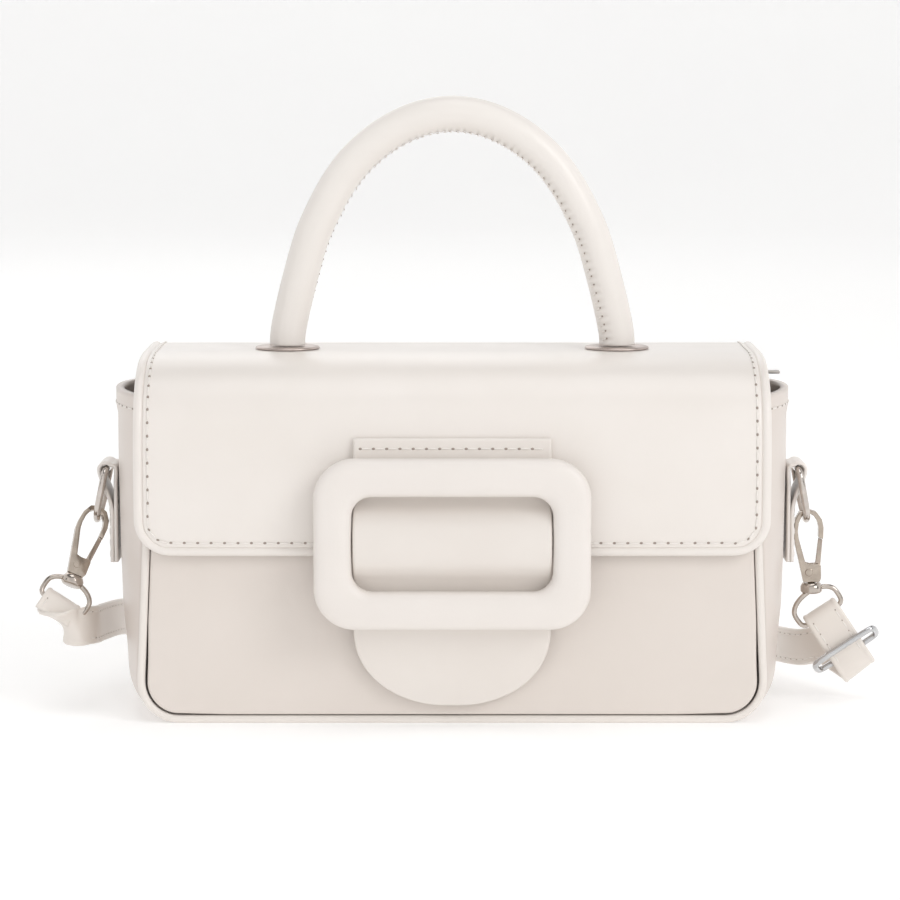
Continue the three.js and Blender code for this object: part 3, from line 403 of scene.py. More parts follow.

# Each needle hole is a flat disc in a dark tone laid on the leather: painted shade for its hollow.
needle_hole, shader, coords = new_material("shaded_needle_hole", {"Roughness": 0.9})
depth = noise(needle_hole, coords, 1 / (0.5 * MM))
feed(needle_hole, shader, Base_Color=blend(needle_hole, depth, "#8f837a", "#b5a99f"))


def sewn(name, marks, length, thick=0.55, hole=0.34):
    """Stitches at marks of (point, along, outward), each with a needle hole at its start. One
    stitch and its hole are modelled, and the row is that one repeated."""
    # The hole's disc is dark: painted shade for the hollow that the needle leaves.
    one = bmesh.new()
    for lift, slide, sizes in ((0.06, 0, (thick / 2, thick / 2, length / 2)),
                               (0.02, -length / 2 - 0.3, (hole, 0.09, hole * 1.3))):
        made = bmesh.ops.create_uvsphere(one, u_segments=8, v_segments=5, radius=1)["verts"]
        bmesh.ops.transform(one, matrix=Matrix.Translation((0, lift, slide))
                            @ Matrix.Diagonal((*sizes, 1)), verts=made)
        for face in {f for v in made for f in v.link_faces}:
            face.material_index = int(slide != 0)
    one.verts.index_update()
    spots = [v.co.copy() for v in one.verts]
    rings = [[v.index for v in f.verts] for f in one.faces]
    finish = [f.material_index for f in one.faces]
    one.free()
    points, faces = [], []
    for point, along, out in marks:
        along = along.normalized()
        out = (out - along * out.dot(along)).normalized()
        turned = Matrix((out.cross(along), out, along)).transposed()
        start = len(points)
        points += [(point + turned @ spot) * MM for spot in spots]
        faces += [[start + corner for corner in ring] for ring in rings]
    mesh = bpy.data.meshes.new(name)
    mesh.from_pydata(points, [], faces)
    mesh.polygons.foreach_set("material_index", finish * len(marks))
    mesh.materials.append(thread)
    mesh.materials.append(needle_hole)
    mesh.shade_smooth()
    row = bpy.data.objects.new(name, mesh)
    bpy.context.scene.collection.objects.link(row)
    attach(row, "bag")


def marks_on(line, pitch, outward):
    """Places a pitch apart on a line of points, with the line's direction and an outward one."""
    length = sum((b - a).length for a, b in zip(line, line[1:]))
    count = max(1, round(length / pitch))
    found = []
    for i in range(count):
        share = (i + 0.5) / count
        along = pick(line, share + 0.004) - pick(line, share - 0.004)
        found.append((pick(line, share), along, outward(share)))
    return found


HEM_SHARE = HEM / sum((b - a).length for a, b in zip(gusset_seam, gusset_seam[1:]))
for side, across in (("left", HEM_SHARE), ("right", 1 - HEM_SHARE)):
    rim = [Vector(gusset_face(across, 0.03 + 0.94 * i / 40)) for i in range(41)]
    out = Vector((-1 if side == "left" else 1, 0, 0))
    sewn(f"gusset_hem_stitches_{side}", marks_on(rim, 4, lambda share: out), 2.9)

# ---------------------------------------------------------------- back panel and flap
# One piece of leather is the back wall, turns over the top and comes down the front as the flap.
# The turn at the front is full and soft, and the flap's sides ease back towards the gusset.
FLAP_TOP = 113.3
FLAP_EDGE = 53
FLAP_HALF = 97.6
FLAP_REACH = PANEL_FACE + 7
FLAP_CORNER = 11
ROLL = 3.2
BACK_SHOULDER = 12
FLAP_FRONT = [
    {"forward": 0.3, "drop": 0}, {"forward": 0.56, "drop": 0.026},
    {"forward": 0.744, "drop": 0.083}, {"forward": 0.872, "drop": 0.166},
    {"forward": 0.953, "drop": 0.282}, {"forward": 0.99, "drop": 0.448},
    {"forward": 1, "drop": 0.663}, {"forward": 0.986, "drop": 0.85}, {"forward": 0.955, "drop": 1},
]
shoulder = FLAP_TOP - BACK_SHOULDER
sheet_knots = [(0, PANEL_FACE, PANEL_INSET + (shoulder - PANEL_INSET) * i / 4) for i in range(5)]
sheet_knots += [(0, PANEL_FACE - BACK_SHOULDER * (1 - math.cos(math.pi / 10 * i)),
                 shoulder + BACK_SHOULDER * math.sin(math.pi / 10 * i)) for i in range(1, 6)]
sheet_knots += [(0, 3, FLAP_TOP)]
sheet_knots += [(0, -row["forward"] * FLAP_REACH, FLAP_TOP - row["drop"] * (FLAP_TOP - FLAP_EDGE))
                for row in FLAP_FRONT]
sheet_line = smooth_line(sheet_knots, 0.5)
SHEET_LENGTH = sum((b - a).length for a, b in zip(sheet_line, sheet_line[1:]))
ROLL_STARTS = SHEET_LENGTH - (BODY_HEIGHT - 2)


def ease_back(x, from_edge):
    """How far the flap's sides ease back near its rolled edge, over the front only."""
    front = min(1, max(0, (ROLL_STARTS - 40 - from_edge) / 40))
    return 1.3 * front * math.exp(-max(0, FLAP_HALF - abs(x)) / 9)


def on_sheet(x, from_edge, depth):
    """A point on the sheet at a distance from its front edge, sunk into it by a depth."""
    share = 1 - from_edge / SHEET_LENGTH
    along = (pick(sheet_line, share + 0.002) - pick(sheet_line, share - 0.002)).normalized()
    depth += ease_back(x, from_edge)
    return pick(sheet_line, share) + Vector((x, -depth * along.z, depth * along.y))


def flap_half(from_edge, inset):
    radius = FLAP_CORNER - inset
    rise = radius - (from_edge - inset)
    full = FLAP_HALF - inset
    return full - radius + math.sqrt(max(radius ** 2 - rise ** 2, 0)) if rise > 0 else full


FLAP_INSET = ROLL - 0.35


def sheet_face(across, along):
    from_edge = FLAP_INSET + (SHEET_LENGTH - FLAP_INSET) * to_edges(along)
    height = SHEET_LENGTH - from_edge + PANEL_INSET
    if height < BODY_HEIGHT - 3:
        half = seam_half(height, PANEL_INSET)
    elif height < BODY_HEIGHT + 2:
        half = seam_half(BODY_HEIGHT - 3, PANEL_INSET) * (1 - (height - BODY_HEIGHT + 3) / 5)
        half += flap_half(from_edge, FLAP_INSET) * (height - BODY_HEIGHT + 3) / 5
    else:
        half = flap_half(from_edge, FLAP_INSET)
    share = 2 * to_edges(across) - 1
    edge = min(half * (1 - abs(share)), from_edge - FLAP_INSET, SHEET_LENGTH - from_edge)
    return on_sheet(share * half, from_edge, turned_in(edge, 0.6))


flap_leather = leather("flap_calf", "#f0eae5", "#e9e2db", roughness=0.31, folds=0.5)
dress("back_and_flap_leather", laid_sheet(80, 190, sheet_face, WALL), flap_leather, "leather",
      "back_panel_flap")

# ---------------------------------------------------------------- seam piping
# Leather cord, 2.5 mm thick, is sewn into the seams between the panels and the gusset. A dark
# slit shows inside it where the panel doesn't quite meet it.


def carried(line, closed=False, up=(0, 1, 0)):
    """A matrix at each point of a line: its Z runs along it, and its X and Y don't twist."""
    frames = []
    side = Vector(up)
    count = len(line)
    for i, point in enumerate(line):
        before = line[i - 1] if closed or i else line[0]
        after = line[(i + 1) % count] if closed or i < count - 1 else line[-1]
        along = (after - before).normalized()
        side = (side - along * side.dot(along)).normalized()
        turned = Matrix((side, along.cross(side), along)).transposed().to_4x4()
        frames.append(Matrix.Translation(point) @ turned)
    return frames


def swept(frames, section_at, closed=False):
    """A skin round the sections that stand at each frame, closed at its ends unless it's a ring."""
    sides = len(section_at(0))
    rows = len(frames) - (0 if closed else 1)
    shape = bmesh.new()
    bmesh.ops.create_grid(shape, x_segments=sides, y_segments=rows, size=0.5)
    for vert in shape.verts:
        corner = round((vert.co.x + 0.5) * sides) % sides
        row = round((vert.co.y + 0.5) * rows) % len(frames)
        x, y = section_at(row)[corner]
        vert.co = (frames[row] @ Vector((x, y, 0))) * MM
    bmesh.ops.remove_doubles(shape, verts=shape.verts[:], dist=1e-7)
    if not closed:
        bmesh.ops.holes_fill(shape, edges=[e for e in shape.edges if e.is_boundary], sides=0)
    bmesh.ops.recalc_face_normals(shape, faces=shape.faces[:])
    return shape


def disc(radius, sides):
    """A round section."""
    return [(radius * math.cos(2 * math.pi * i / sides), radius * math.sin(2 * math.pi * i / sides))
            for i in range(sides)]


def tube(line, section, closed=False, up=(0, 1, 0)):
    """One section carried along a line."""
    return swept(carried(line, closed, up), lambda row: section, closed)


piping_leather = leather("piping_calf", "#f0eae4", "#e8e0d9", roughness=0.36, folds=0.3)
for where, y in (("front", -BODY_HALF_DEPTH), ("back", BODY_HALF_DEPTH)):
    line = [point + Vector((0, y, 0))
            for point in smooth_line(seam_points(PIPING / 2, BODY_HEIGHT - 1.5), 1.6)]
    dress(f"{where}_piping_leather", tube(line, disc(PIPING / 2, 16)), piping_leather, "leather",
          f"{where}_piping")

# ---------------------------------------------------------------- flap edge
# The flap's edge is turned over a cord into a raised roll, and a row of stitches runs just inside
# it, 4.5 mm from the outside.
EDGE_STITCHES = 4.5


def flap_outline(inset, depth):
    """The flap's outline at an inset, from the back of the left side round to the right."""
    left = [on_sheet(-flap_half(at, inset), at, depth)
            for at in (ROLL_STARTS + (FLAP_CORNER - ROLL_STARTS) * i / 90 for i in range(91))]
    radius = FLAP_CORNER - inset
    for i in range(1, 13):
        at = FLAP_CORNER - radius * math.sin(math.pi / 24 * i)
        left.append(on_sheet(-flap_half(at, inset), at, depth))
    left += [on_sheet(-(FLAP_HALF - FLAP_CORNER) * share, inset, depth)
             for share in (0.94, 0.87, 0.79, 0.7, 0.6, 0.45, 0.3, 0.12)]
    return [*left, *(Vector((-p.x, p.y, p.z)) for p in reversed(left))]


roll_line = smooth_line(flap_outline(ROLL / 2, WALL / 2), 1.3)
dress("flap_edge_roll_leather", tube(roll_line, disc(ROLL / 2, 18), up=(1, 0, 0)), flap_leather,
      "leather", "flap_edge_roll")

stitch_line = smooth_line(flap_outline(EDGE_STITCHES, -0.05), 1)
below = smooth_line(flap_outline(EDGE_STITCHES, 3), 1)
edge_marks = marks_on(stitch_line, 4.1, lambda share: pick(stitch_line, share) - pick(below, share))
sewn("flap_edge_stitches", edge_marks, 3, thick=0.7, hole=0.4)

# ---------------------------------------------------------------- facings and zip
# Under the flap, two leather facings slope up to a moulded zip that closes the top. Its tape is
# woven, its teeth are small plated pairs, and its slider waits at the right end.
FACING = [
    {"out": 0.945, "length": 0.92, "rise": 0}, {"out": 0.7, "length": 0.965, "rise": 0.55},
    {"out": 0.42, "length": 0.99, "rise": 0.9}, {"out": 0.17, "length": 1, "rise": 1},
]
ZIP_HALF = 98
FACING_BASE = BODY_HEIGHT - 1.5
FACING_RISE = 3.4
FACING_WALL = 1.6
facing_line = smooth_line([(row["length"] * ZIP_HALF, row["out"] * BODY_HALF_DEPTH,
                            FACING_BASE + row["rise"] * FACING_RISE) for row in FACING], 0.8)
for where, side in (("front", -1), ("back", 1)):
    def facing_face(across, along):
        point = pick(facing_line, along)
        edge = 28 * min(along, 1 - along)
        return (2 * across - 1) * point.x, side * point.y, point.z - turned_in(edge, 0.7)

    # The facings take the gusset's darker tone: painted shade under the flap.
    dress(f"top_facing_{where}_leather", laid_sheet(40, 44, facing_face, FACING_WALL),
          shaded_gusset_leather, "leather", f"top_facing_{where}")
    inner = [Vector(((2 * i / 40 - 1) * 94, side * (0.17 * BODY_HALF_DEPTH + 2.6),
                     FACING_BASE + FACING_RISE - 0.05)) for i in range(41)]
    sewn(f"facing_stitches_{where}", marks_on(inner, 4, lambda share: Vector((0, 0, 1))), 2.9)

# Twill zip tape in polyester: matt, with diagonal ribs drawn a few millimetres apart.
tape_cloth, shader, coords = new_material("polyester_zip_twill", {"Roughness": 0.85,
                                                                  "Sheen Weight": 0.25})
warp = add(tape_cloth, "ShaderNodeTexWave", {"Vector": coords, "Scale": 1 / (12 * MM),
                                             "Distortion": 0.6}, bands_direction="DIAGONAL")
weft = add(tape_cloth, "ShaderNodeTexWave", {"Vector": coords, "Scale": 1 / (16 * MM)},
           bands_direction="X")
cross = add(tape_cloth, "ShaderNodeMath", {0: warp.outputs["Fac"], 1: weft.outputs["Fac"]})
feed(tape_cloth, shader, Base_Color=blend(tape_cloth, warp.outputs["Fac"], "#d9d3cb", "#e9e4dd"),
     Normal=relief(tape_cloth, cross.outputs["Value"], 0.6, 0.15))

tape_low, tape_high = (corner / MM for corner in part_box("zip_tape"))


def tape_face(across, along):
    return (tape_low.x + (tape_high.x - tape_low.x) * across,
            tape_low.y + (tape_high.y - tape_low.y) * along, tape_high.z)


dress("zip_tape_cloth", laid_sheet(60, 10, tape_face, 0.8), tape_cloth, "zip_tape", "zip_tape")


def plated(name, tone, deep, roughness):
    """Nickel plate over cast zinc, tumbled and polished: a warm grey mirror, a little soft, with
    fine scratches about 0.2 mm apart."""
    made, shader, coords = new_material(name, {"Metallic": 1})
    cast = noise(made, coords, 1 / (3 * MM), 3)
    scratches = noise(made, coords, 1 / (0.2 * MM))
    feed(made, shader, Base_Color=blend(made, cast, tone, deep),
         Roughness=ranged(made, scratches, roughness - 0.05, roughness + 0.08),
         Normal=relief(made, cast, 0.25, 0.1))
    return made


nickel = plated("polished_nickel_plate", "#d8cfc7", "#a89e95", 0.12)
zip_metal = plated("zip_nickel_plate", "#c4bfba", "#a39d97", 0.28)


def blocks(rows, rounded):
    """Rounded blocks at (centre, size) in mm, in one mesh."""
    shape = bmesh.new()
    for centre, size in rows:
        bmesh.ops.create_cube(shape, size=MM, matrix=Matrix.Translation(Vector(centre) * MM)
                              @ Matrix.Diagonal((*size, 1)))
    bmesh.ops.bevel(shape, geom=shape.edges[:], offset=rounded * MM, offset_type="OFFSET",
                    affect="EDGES", segments=1 if len(rows) > 20 else 3, profile=0.5, material=-1,
                    clamp_overlap=True)
    return shape


TOOTH_PITCH = 1.25
low, high = (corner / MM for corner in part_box("zip_teeth"))
teeth_rows = [((low.x + (i + 0.5) * TOOTH_PITCH, 0.55 if i % 2 else -0.55, (low.z + high.z) / 2),
               (0.8, 3.6, high.z - low.z)) for i in range(int((high.x - low.x) / TOOTH_PITCH))]
dress("zip_teeth_metal", blocks(teeth_rows, 0.16), zip_metal, "nickel", "zip_teeth")

# The slider: its lower and upper plates, the post between them, the bridge and the puller.
SLIDER_BLOCKS = [
    {"along": 4.25, "up": 0.6, "size": (8.5, 7.6, 1.2)},
    {"along": 4.25, "up": 3.1, "size": (8.5, 6.8, 1.1)},
    {"along": 4.8, "up": 1.9, "size": (2.2, 1.6, 2.4)},
    {"along": 4.3, "up": 4, "size": (5, 1.8, 0.9)},
    {"along": 9.6, "up": 4.3, "size": (9.6, 4.4, 0.9)},
]
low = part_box("zip_slider")[0] / MM
slider_rows = [((low.x + row["along"], 0, low.z + row["up"]), row["size"]) for row in SLIDER_BLOCKS]
dress("zip_slider_metal", blocks(slider_rows, 0.35), zip_metal, "nickel", "zip_slider")

# ---------------------------------------------------------------- handle
# A round handle: leather wrapped over a rolled core and whipped shut along the underside, where
# it puckers round each stitch. Its feet go through thin metal washers on the flap.
HANDLE_RADIUS = 5.75
HANDLE_SPAN = 52.2
HANDLE_APEX = 187.6
WASHER_RADIUS = 10.2
WASHER_THICK = 0.8
HANDLE_FOOT = FLAP_TOP + WASHER_THICK + 0.6
HANDLE_ARCH = [
    {"across": 1, "up": 0}, {"across": 0.999, "up": 0.03}, {"across": 0.99, "up": 0.08},
    {"across": 0.927, "up": 0.275}, {"across": 0.843, "up": 0.48}, {"across": 0.776, "up": 0.586},
    {"across": 0.697, "up": 0.69}, {"across": 0.582, "up": 0.8}, {"across": 0.41, "up": 0.905},
    {"across": 0.21, "up": 0.975}, {"across": 0, "up": 1},
]
HANDLE_STEP = 0.55
PUCKER_PITCH = 2.6
rise = HANDLE_APEX - HANDLE_FOOT
arch = [Vector((-row["across"] * HANDLE_SPAN, 0, HANDLE_FOOT + row["up"] * rise))
        for row in HANDLE_ARCH]
arch += [Vector((-p.x, 0, p.z)) for p in reversed(arch[:-1])]
handle_line = smooth_line(arch, HANDLE_STEP)
handle_frames = carried(handle_line)
HANDLE_SIDES = 48


def seam_angle(row):
    """Where the seam runs on the section: behind the left leg, coming forward to the right."""
    turned = handle_frames[row].to_3x3()
    along = turned @ Vector((0, 0, 1))
    share = row / len(handle_line)
    inward = along.cross(Vector((0, -1, 0))) + Vector((0, 0.8 - 1.75 * share, 0))
    inward = turned.inverted() @ inward
    return math.atan2(inward.y, inward.x)


def handle_section(row):
    """Round, pinched to a low ridge at the whipped seam on the inside of the arch."""
    section = []
    wave = 0.5 - 0.5 * math.cos(2 * math.pi * row * HANDLE_STEP / PUCKER_PITCH)
    slack = 0.5 + 0.5 * math.exp(-((row - len(handle_line) / 2) * HANDLE_STEP / 50) ** 2)
    for i in range(HANDLE_SIDES):
        angle = 2 * math.pi * i / HANDLE_SIDES
        away = abs((angle - seam_angle(row) + math.pi) % (2 * math.pi) - math.pi)
        lip = 0.34 * math.exp(-(away / 0.16) ** 2) - 0.3 * math.exp(-(away / 0.07) ** 2)
        pucker = -0.6 * slack * wave * math.exp(-((away - 0.24) / 0.3) ** 2)
        radius = HANDLE_RADIUS + lip + pucker - 0.12
        section.append((radius * math.cos(angle), radius * math.sin(angle)))
    return section


handle_leather = leather("handle_calf", "#f1ece7", "#e9e3dd", roughness=0.36, folds=0.45)
dress("handle_leather", swept(handle_frames, handle_section), handle_leather, "leather", "handle")

whip_marks = []
for i in range(int(len(handle_line) * HANDLE_STEP / PUCKER_PITCH)):
    row = round((i + 0.5) * PUCKER_PITCH / HANDLE_STEP)
    if row < len(handle_frames):
        turned = handle_frames[row].to_3x3()
        angle = seam_angle(row)
        out = turned @ Vector((math.cos(angle), math.sin(angle), 0))
        across = turned @ Vector((-math.sin(angle), math.cos(angle), 0.35))
        whip_marks.append((handle_line[row] + out * (HANDLE_RADIUS - 0.05), across, out))
sewn("handle_whip_stitches", whip_marks, 1.9, thick=0.5, hole=0.3)

dull_nickel = plated("dull_nickel_washer", "#cfc3bd", "#b5a8a1", 0.34)
for where, side in (("left", -1), ("right", 1)):
    foot = FLAP_TOP + 0.3
    washer_profile = [
        (0, foot), (WASHER_RADIUS - 0.1, foot), (WASHER_RADIUS, foot + 0.2),
        (WASHER_RADIUS - 0.25, foot + 0.6), (WASHER_RADIUS - 0.9, foot + WASHER_THICK),
        (HANDLE_RADIUS + 0.9, foot + WASHER_THICK), (HANDLE_RADIUS + 0.2, foot + 0.45),
        (0, foot + 0.45)]
    shape = spun([(r * MM, z * MM) for r, z in washer_profile], 64)
    bmesh.ops.translate(shape, verts=shape.verts[:], vec=(side * HANDLE_SPAN * MM, 0, 0))
    dress(f"handle_washer_{where}_metal", shape, dull_nickel, "washer_nickel",
          f"handle_washer_{where}")

# ---------------------------------------------------------------- buckle frame
# The wide frame is a rigid core wrapped in the same leather, with every edge fully rounded. It is
# only for show: the tab that is threaded through it holds it to the flap.
FRAME_WIDTH = 84.4
FRAME_HEIGHT = 52.4
FRAME_BAR = 11.6
FRAME_THICK = 8
FRAME_MIDDLE = 58.3
FRAME_CORNER = 12.5
WINDOW_CORNER = 6.2
SECTION_SIDES = 36
SQUARENESS = 2.9
CORNERS = [(1, 1), (-1, 1), (-1, -1), (1, -1)]
frame_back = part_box("buckle_frame")[1].y / MM


def rounded_box(width, height, radius):
    """Points round a rounded rectangle, the same number on each side and corner."""
    def on_corner(quarter, turn):
        sx, sz = CORNERS[quarter % 4]
        return Vector((sx * (width / 2 - radius) + radius * math.cos(turn), 0,
                       sz * (height / 2 - radius) + radius * math.sin(turn)))

    points = []
    for quarter in range(4):
        points += [on_corner(quarter, math.pi / 2 * (quarter + i / 16)) for i in range(17)]
        start, end = points[-1], on_corner(quarter + 1, math.pi / 2 * (quarter + 1))
        points += [start.lerp(end, i / 20) for i in range(1, 20)]
    return points


outer = rounded_box(FRAME_WIDTH, FRAME_HEIGHT, FRAME_CORNER)
inner = rounded_box(FRAME_WIDTH - 2 * FRAME_BAR, FRAME_HEIGHT - 2 * FRAME_BAR, WINDOW_CORNER)


def squared(angle, power):
    """A point of a rounded square section, as shares of its half width and half height."""
    c, s = math.cos(angle), math.sin(angle)
    return math.copysign(abs(c) ** (2 / power), c), math.copysign(abs(s) ** (2 / power), s)


shape = bmesh.new()
bmesh.ops.create_grid(shape, x_segments=SECTION_SIDES, y_segments=len(outer), size=0.5)
for vert in shape.verts:
    angle = 2 * math.pi * (vert.co.x + 0.5)
    row = round((vert.co.y + 0.5) * len(outer)) % len(outer)
    u, v = squared(angle, SQUARENESS)
    place = (outer[row] + inner[row]) / 2 + (outer[row] - inner[row]) / 2 * u
    place.y = frame_back - FRAME_THICK / 2 * (1 + v)
    place.z += FRAME_MIDDLE
    vert.co = place * MM
bmesh.ops.remove_doubles(shape, verts=shape.verts[:], dist=1e-7)
bmesh.ops.recalc_face_normals(shape, faces=shape.faces[:])
frame_leather = leather("wrapped_frame_calf", "#eee8e3", "#e9e2dc", roughness=0.4, folds=0.18)
dress("buckle_frame_leather", shape, frame_leather, "covered_frame", "buckle_frame")

# ---------------------------------------------------------------- buckle tab
# A doubled leather tab is stitched to the flap above the frame. It passes behind the top bar,
# swells out in the window, goes behind the lower bar and ends in a half-round tongue.
TAB_WIDTH = 60.6
TAB_WALL = 1.8
TAB_TOP = 90
TONGUE_TIP = 6.4
TONGUE = 24.6
TAB_LINE = [
    {"height": 0, "out": -0.5}, {"height": 0.09, "out": -0.42}, {"height": 0.18, "out": -0.28},
    {"height": 0.27, "out": -0.08}, {"height": 0.35, "out": 0.1}, {"height": 0.41, "out": 0.19},
    {"height": 0.455, "out": 0.24}, {"height": 0.487, "out": 0.4}, {"height": 0.52, "out": 0.7},
    {"height": 0.555, "out": 0.95}, {"height": 0.62, "out": 1.06}, {"height": 0.685, "out": 0.96},
    {"height": 0.72, "out": 0.72}, {"height": 0.752, "out": 0.37}, {"height": 0.78, "out": 0.21},
    {"height": 0.83, "out": 0.2}, {"height": 0.88, "out": 0.16}, {"height": 0.94, "out": 0.12},
    {"height": 1, "out": 0.04},
]
tab_line = smooth_line([(0, -FLAP_REACH - row["out"] * FRAME_THICK,
                         TONGUE_TIP + row["height"] * (TAB_TOP - TONGUE_TIP))
                        for row in TAB_LINE], 0.4)
# The rows crowd at the tongue's tip, where the outline turns fast.
tab_rows = [0.28 * (i / 70) ** 2 for i in range(70)] + [0.28 + 0.72 * i / 110 for i in range(111)]
tab_frames = []
for share in tab_rows:
    point = pick(tab_line, share)
    along = (pick(tab_line, share + 0.004) - pick(tab_line, share - 0.004)).normalized()
    wide = Vector((1, 0, 0))
    turned = Matrix((wide, along.cross(wide), along)).transposed().to_4x4()
    tab_frames.append(Matrix.Translation(point) @ turned)


def tab_section(row):
    """A flat section with rounded edges, thinned where the tongue's edge rounds over."""
    height = tab_frames[row].translation.z
    drop = min(0.9999, max(0, 1 - (height - TONGUE_TIP) / TONGUE))
    half = TAB_WIDTH / 2 * (1 - drop ** 2.2) ** (1 / 2.2)
    tip = pick(tab_line, tab_rows[row]).z - tab_line[0].z
    top = tab_line[-1].z - tab_frames[row].translation.z
    thick = TAB_WALL / 2 - turned_in(tip, 0.75) - turned_in(top, 0.75)
    section = []
    for i in range(80):
        u, v = squared(2 * math.pi * (i + 0.5) / 80, 2)
        x = u * half
        near = max(0, 1 - (half - abs(x)) / 0.8)
        section.append((x, math.copysign(thick * math.sqrt(max(0, 1 - near ** 2)), v)))
    return section


tab_leather = leather("buckle_tab_calf", "#ece6e0", "#e5ddd6", roughness=0.36, folds=0.35)
dress("buckle_tab_leather", swept(tab_frames, tab_section), tab_leather, "leather", "buckle_tab")

top_row = [p for p in tab_line if p.z < TAB_TOP - 2.9][-1]
tab_marks = [(Vector((-28.2 + 4.03 * (i + 0.5), top_row.y - TAB_WALL / 2, top_row.z)),
              Vector((1, 0, 0)), Vector((0, -1, 0))) for i in range(14)]
sewn("buckle_tab_stitches", tab_marks, 3.0, thick=0.6, hole=0.42)

# ---------------------------------------------------------------- side tabs
# A short strap at each side is folded round the ring's straight bar. Its two layers are stitched
# together and to the gusset below the fold.
SIDE_FACE = max(seam_half(h) + bulge_at(h) for h in (45.5, 81)) + 0.3
SIDE_TAB_WIDTH = 14
LAYER = 1.2
RING_WIRE = 2.2
RING_BAR_HEIGHT = 75.4
RING_BAR_OUT = 3.6
fold = RING_WIRE / 2 + 0.55 + LAYER / 2
tab_path = [(LAYER / 2, 46), (LAYER / 2, 56), (LAYER / 2, 70), (LAYER / 2 + 0.15, 76.5)]
tab_path += [(RING_BAR_OUT + fold * math.cos(math.radians(a)),
              RING_BAR_HEIGHT + fold * math.sin(math.radians(a))) for a in (135, 100, 60, 20, -15)]
tab_path += [(RING_BAR_OUT + 1.3, RING_BAR_HEIGHT - 3.4), (SIDE_TAB_WIDTH * 0.22, 67.6),
             (1.5 * LAYER + 0.08, 63), (1.5 * LAYER + 0.05, 54), (1.5 * LAYER + 0.05, 46)]


def flat_strap(half, thick, bead=0.0, dip=0.0, dip_at=1.6):
    """A strap's section: rounded edges, a bead along each edge and a dip where it is sewn."""
    section = []
    for side in (1, -1):
        for i in range(25):
            x = side * half * math.cos(math.pi * i / 24)
            edge = half - abs(x)
            near = max(0, 1 - edge / 0.7)
            y = thick / 2 * math.sqrt(max(0, 1 - near ** 2))
            y += bead * math.exp(-((edge - 0.8) / 0.7) ** 2)
            y -= dip * math.exp(-((edge - dip_at) / 0.4) ** 2)
            if i not in (0, 24) or side == 1:
                section.append((x, side * y))
    return section


side_section = flat_strap(SIDE_TAB_WIDTH / 2, LAYER)
side_leather = leather("side_tab_calf", "#f2ede8", "#e9e2dc", roughness=0.36, folds=0.25)
for where, side in (("left", -1), ("right", 1)):
    line = smooth_line([(side * (SIDE_FACE + out), 0, z) for out, z in tab_path], 0.5)
    dress(f"side_tab_{where}_leather", tube(line, side_section), side_leather, "leather",
          f"side_tab_{where}")
    sewn_at = side * (SIDE_FACE + 2 * LAYER + 0.05)
    edge = SIDE_TAB_WIDTH / 2 - 1.6
    places = [(y, z, (0, 0, 1)) for y in (-edge, edge) for z in (48.5, 52.1, 55.7, 59.3, 62.6)]
    places += [(y, z, (0, 1, 0)) for z in (47.2, 64.3) for y in (-3.6, 0, 3.6)]
    marks = [(Vector((sewn_at, y, z)), Vector(along), Vector((side, 0, 0)))
             for y, z, along in places]
    sewn(f"side_tab_{where}_stitches", marks, 2.5, thick=0.5)

# ---------------------------------------------------------------- D-rings
# Each ring is 2.2 mm steel wire bent to a D, butted at the bar and nickel plated. It hangs out
# from the tab's fold, drawn by the hook.
RING_LEG = 8.3
RING_HALF = SIDE_TAB_WIDTH / 2 + 0.3 + RING_WIRE / 2 + 0.2
RING_TILT = {"left": 12, "right": 11}
ring_points = [(0, -RING_HALF + 1.6, 0), (0, 0, 0), (0, RING_HALF - 1.6, 0), (0, RING_HALF, -1.6),
               (0, RING_HALF, -RING_LEG)]
ring_points += [(0, RING_HALF * math.cos(math.pi * i / 8),
                 -RING_LEG - RING_HALF * math.sin(math.pi * i / 8)) for i in range(1, 8)]
ring_points += [(0, -RING_HALF, -RING_LEG), (0, -RING_HALF, -1.6)]
ring_round = disc(RING_WIRE / 2, 18)
ring_nickel = plated("ring_nickel_plate", "#ded7d1", "#b3aba4", 0.1)
for where, side in (("left", -1), ("right", 1)):
    hung = Matrix.Translation((side * (SIDE_FACE + RING_BAR_OUT), 0, RING_BAR_HEIGHT))
    hung @= Matrix.Rotation(-side * math.radians(RING_TILT[where]), 4, "Y")
    line = [hung @ p for p in smooth_line(ring_points, 0.6, closed=True)]
    dress(f"d_ring_{where}_metal", tube(line, ring_round, closed=True, up=(1, 0, 0)), ring_nickel,
          "nickel", f"d_ring_{where}")

# ---------------------------------------------------------------- snap hooks
# Each hook is a zinc casting with a riveted, sprung gate and a post that turns in the swivel's
# collar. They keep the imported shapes, and the right ones' edges are rounded. On the left ones
# the bevel's overlap limit cuts the rounding to almost nothing.


def softened(name, node, radius, material):
    """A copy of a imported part, its flat faces joined, its edges rounded within the overlap limit."""
    shape = bmesh.new()
    shape.from_mesh(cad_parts[node].data)
    bmesh.ops.remove_doubles(shape, verts=shape.verts[:], dist=2e-6)
    bmesh.ops.dissolve_limit(shape, angle_limit=math.radians(2), verts=shape.verts[:],
                             edges=shape.edges[:])
    sharp = [e for e in shape.edges
             if len(e.link_faces) == 2 and e.calc_face_angle() > math.radians(35)]
    bmesh.ops.bevel(shape, geom=sharp, offset=radius * MM, offset_type="OFFSET", affect="EDGES",
                    segments=3, profile=0.5, material=-1, clamp_overlap=True)
    bmesh.ops.triangulate(shape, faces=[f for f in shape.faces if len(f.verts) > 4])
    made = as_object(name, shape, material)
    made.data.set_sharp_from_angle(angle=math.radians(50))
    return made


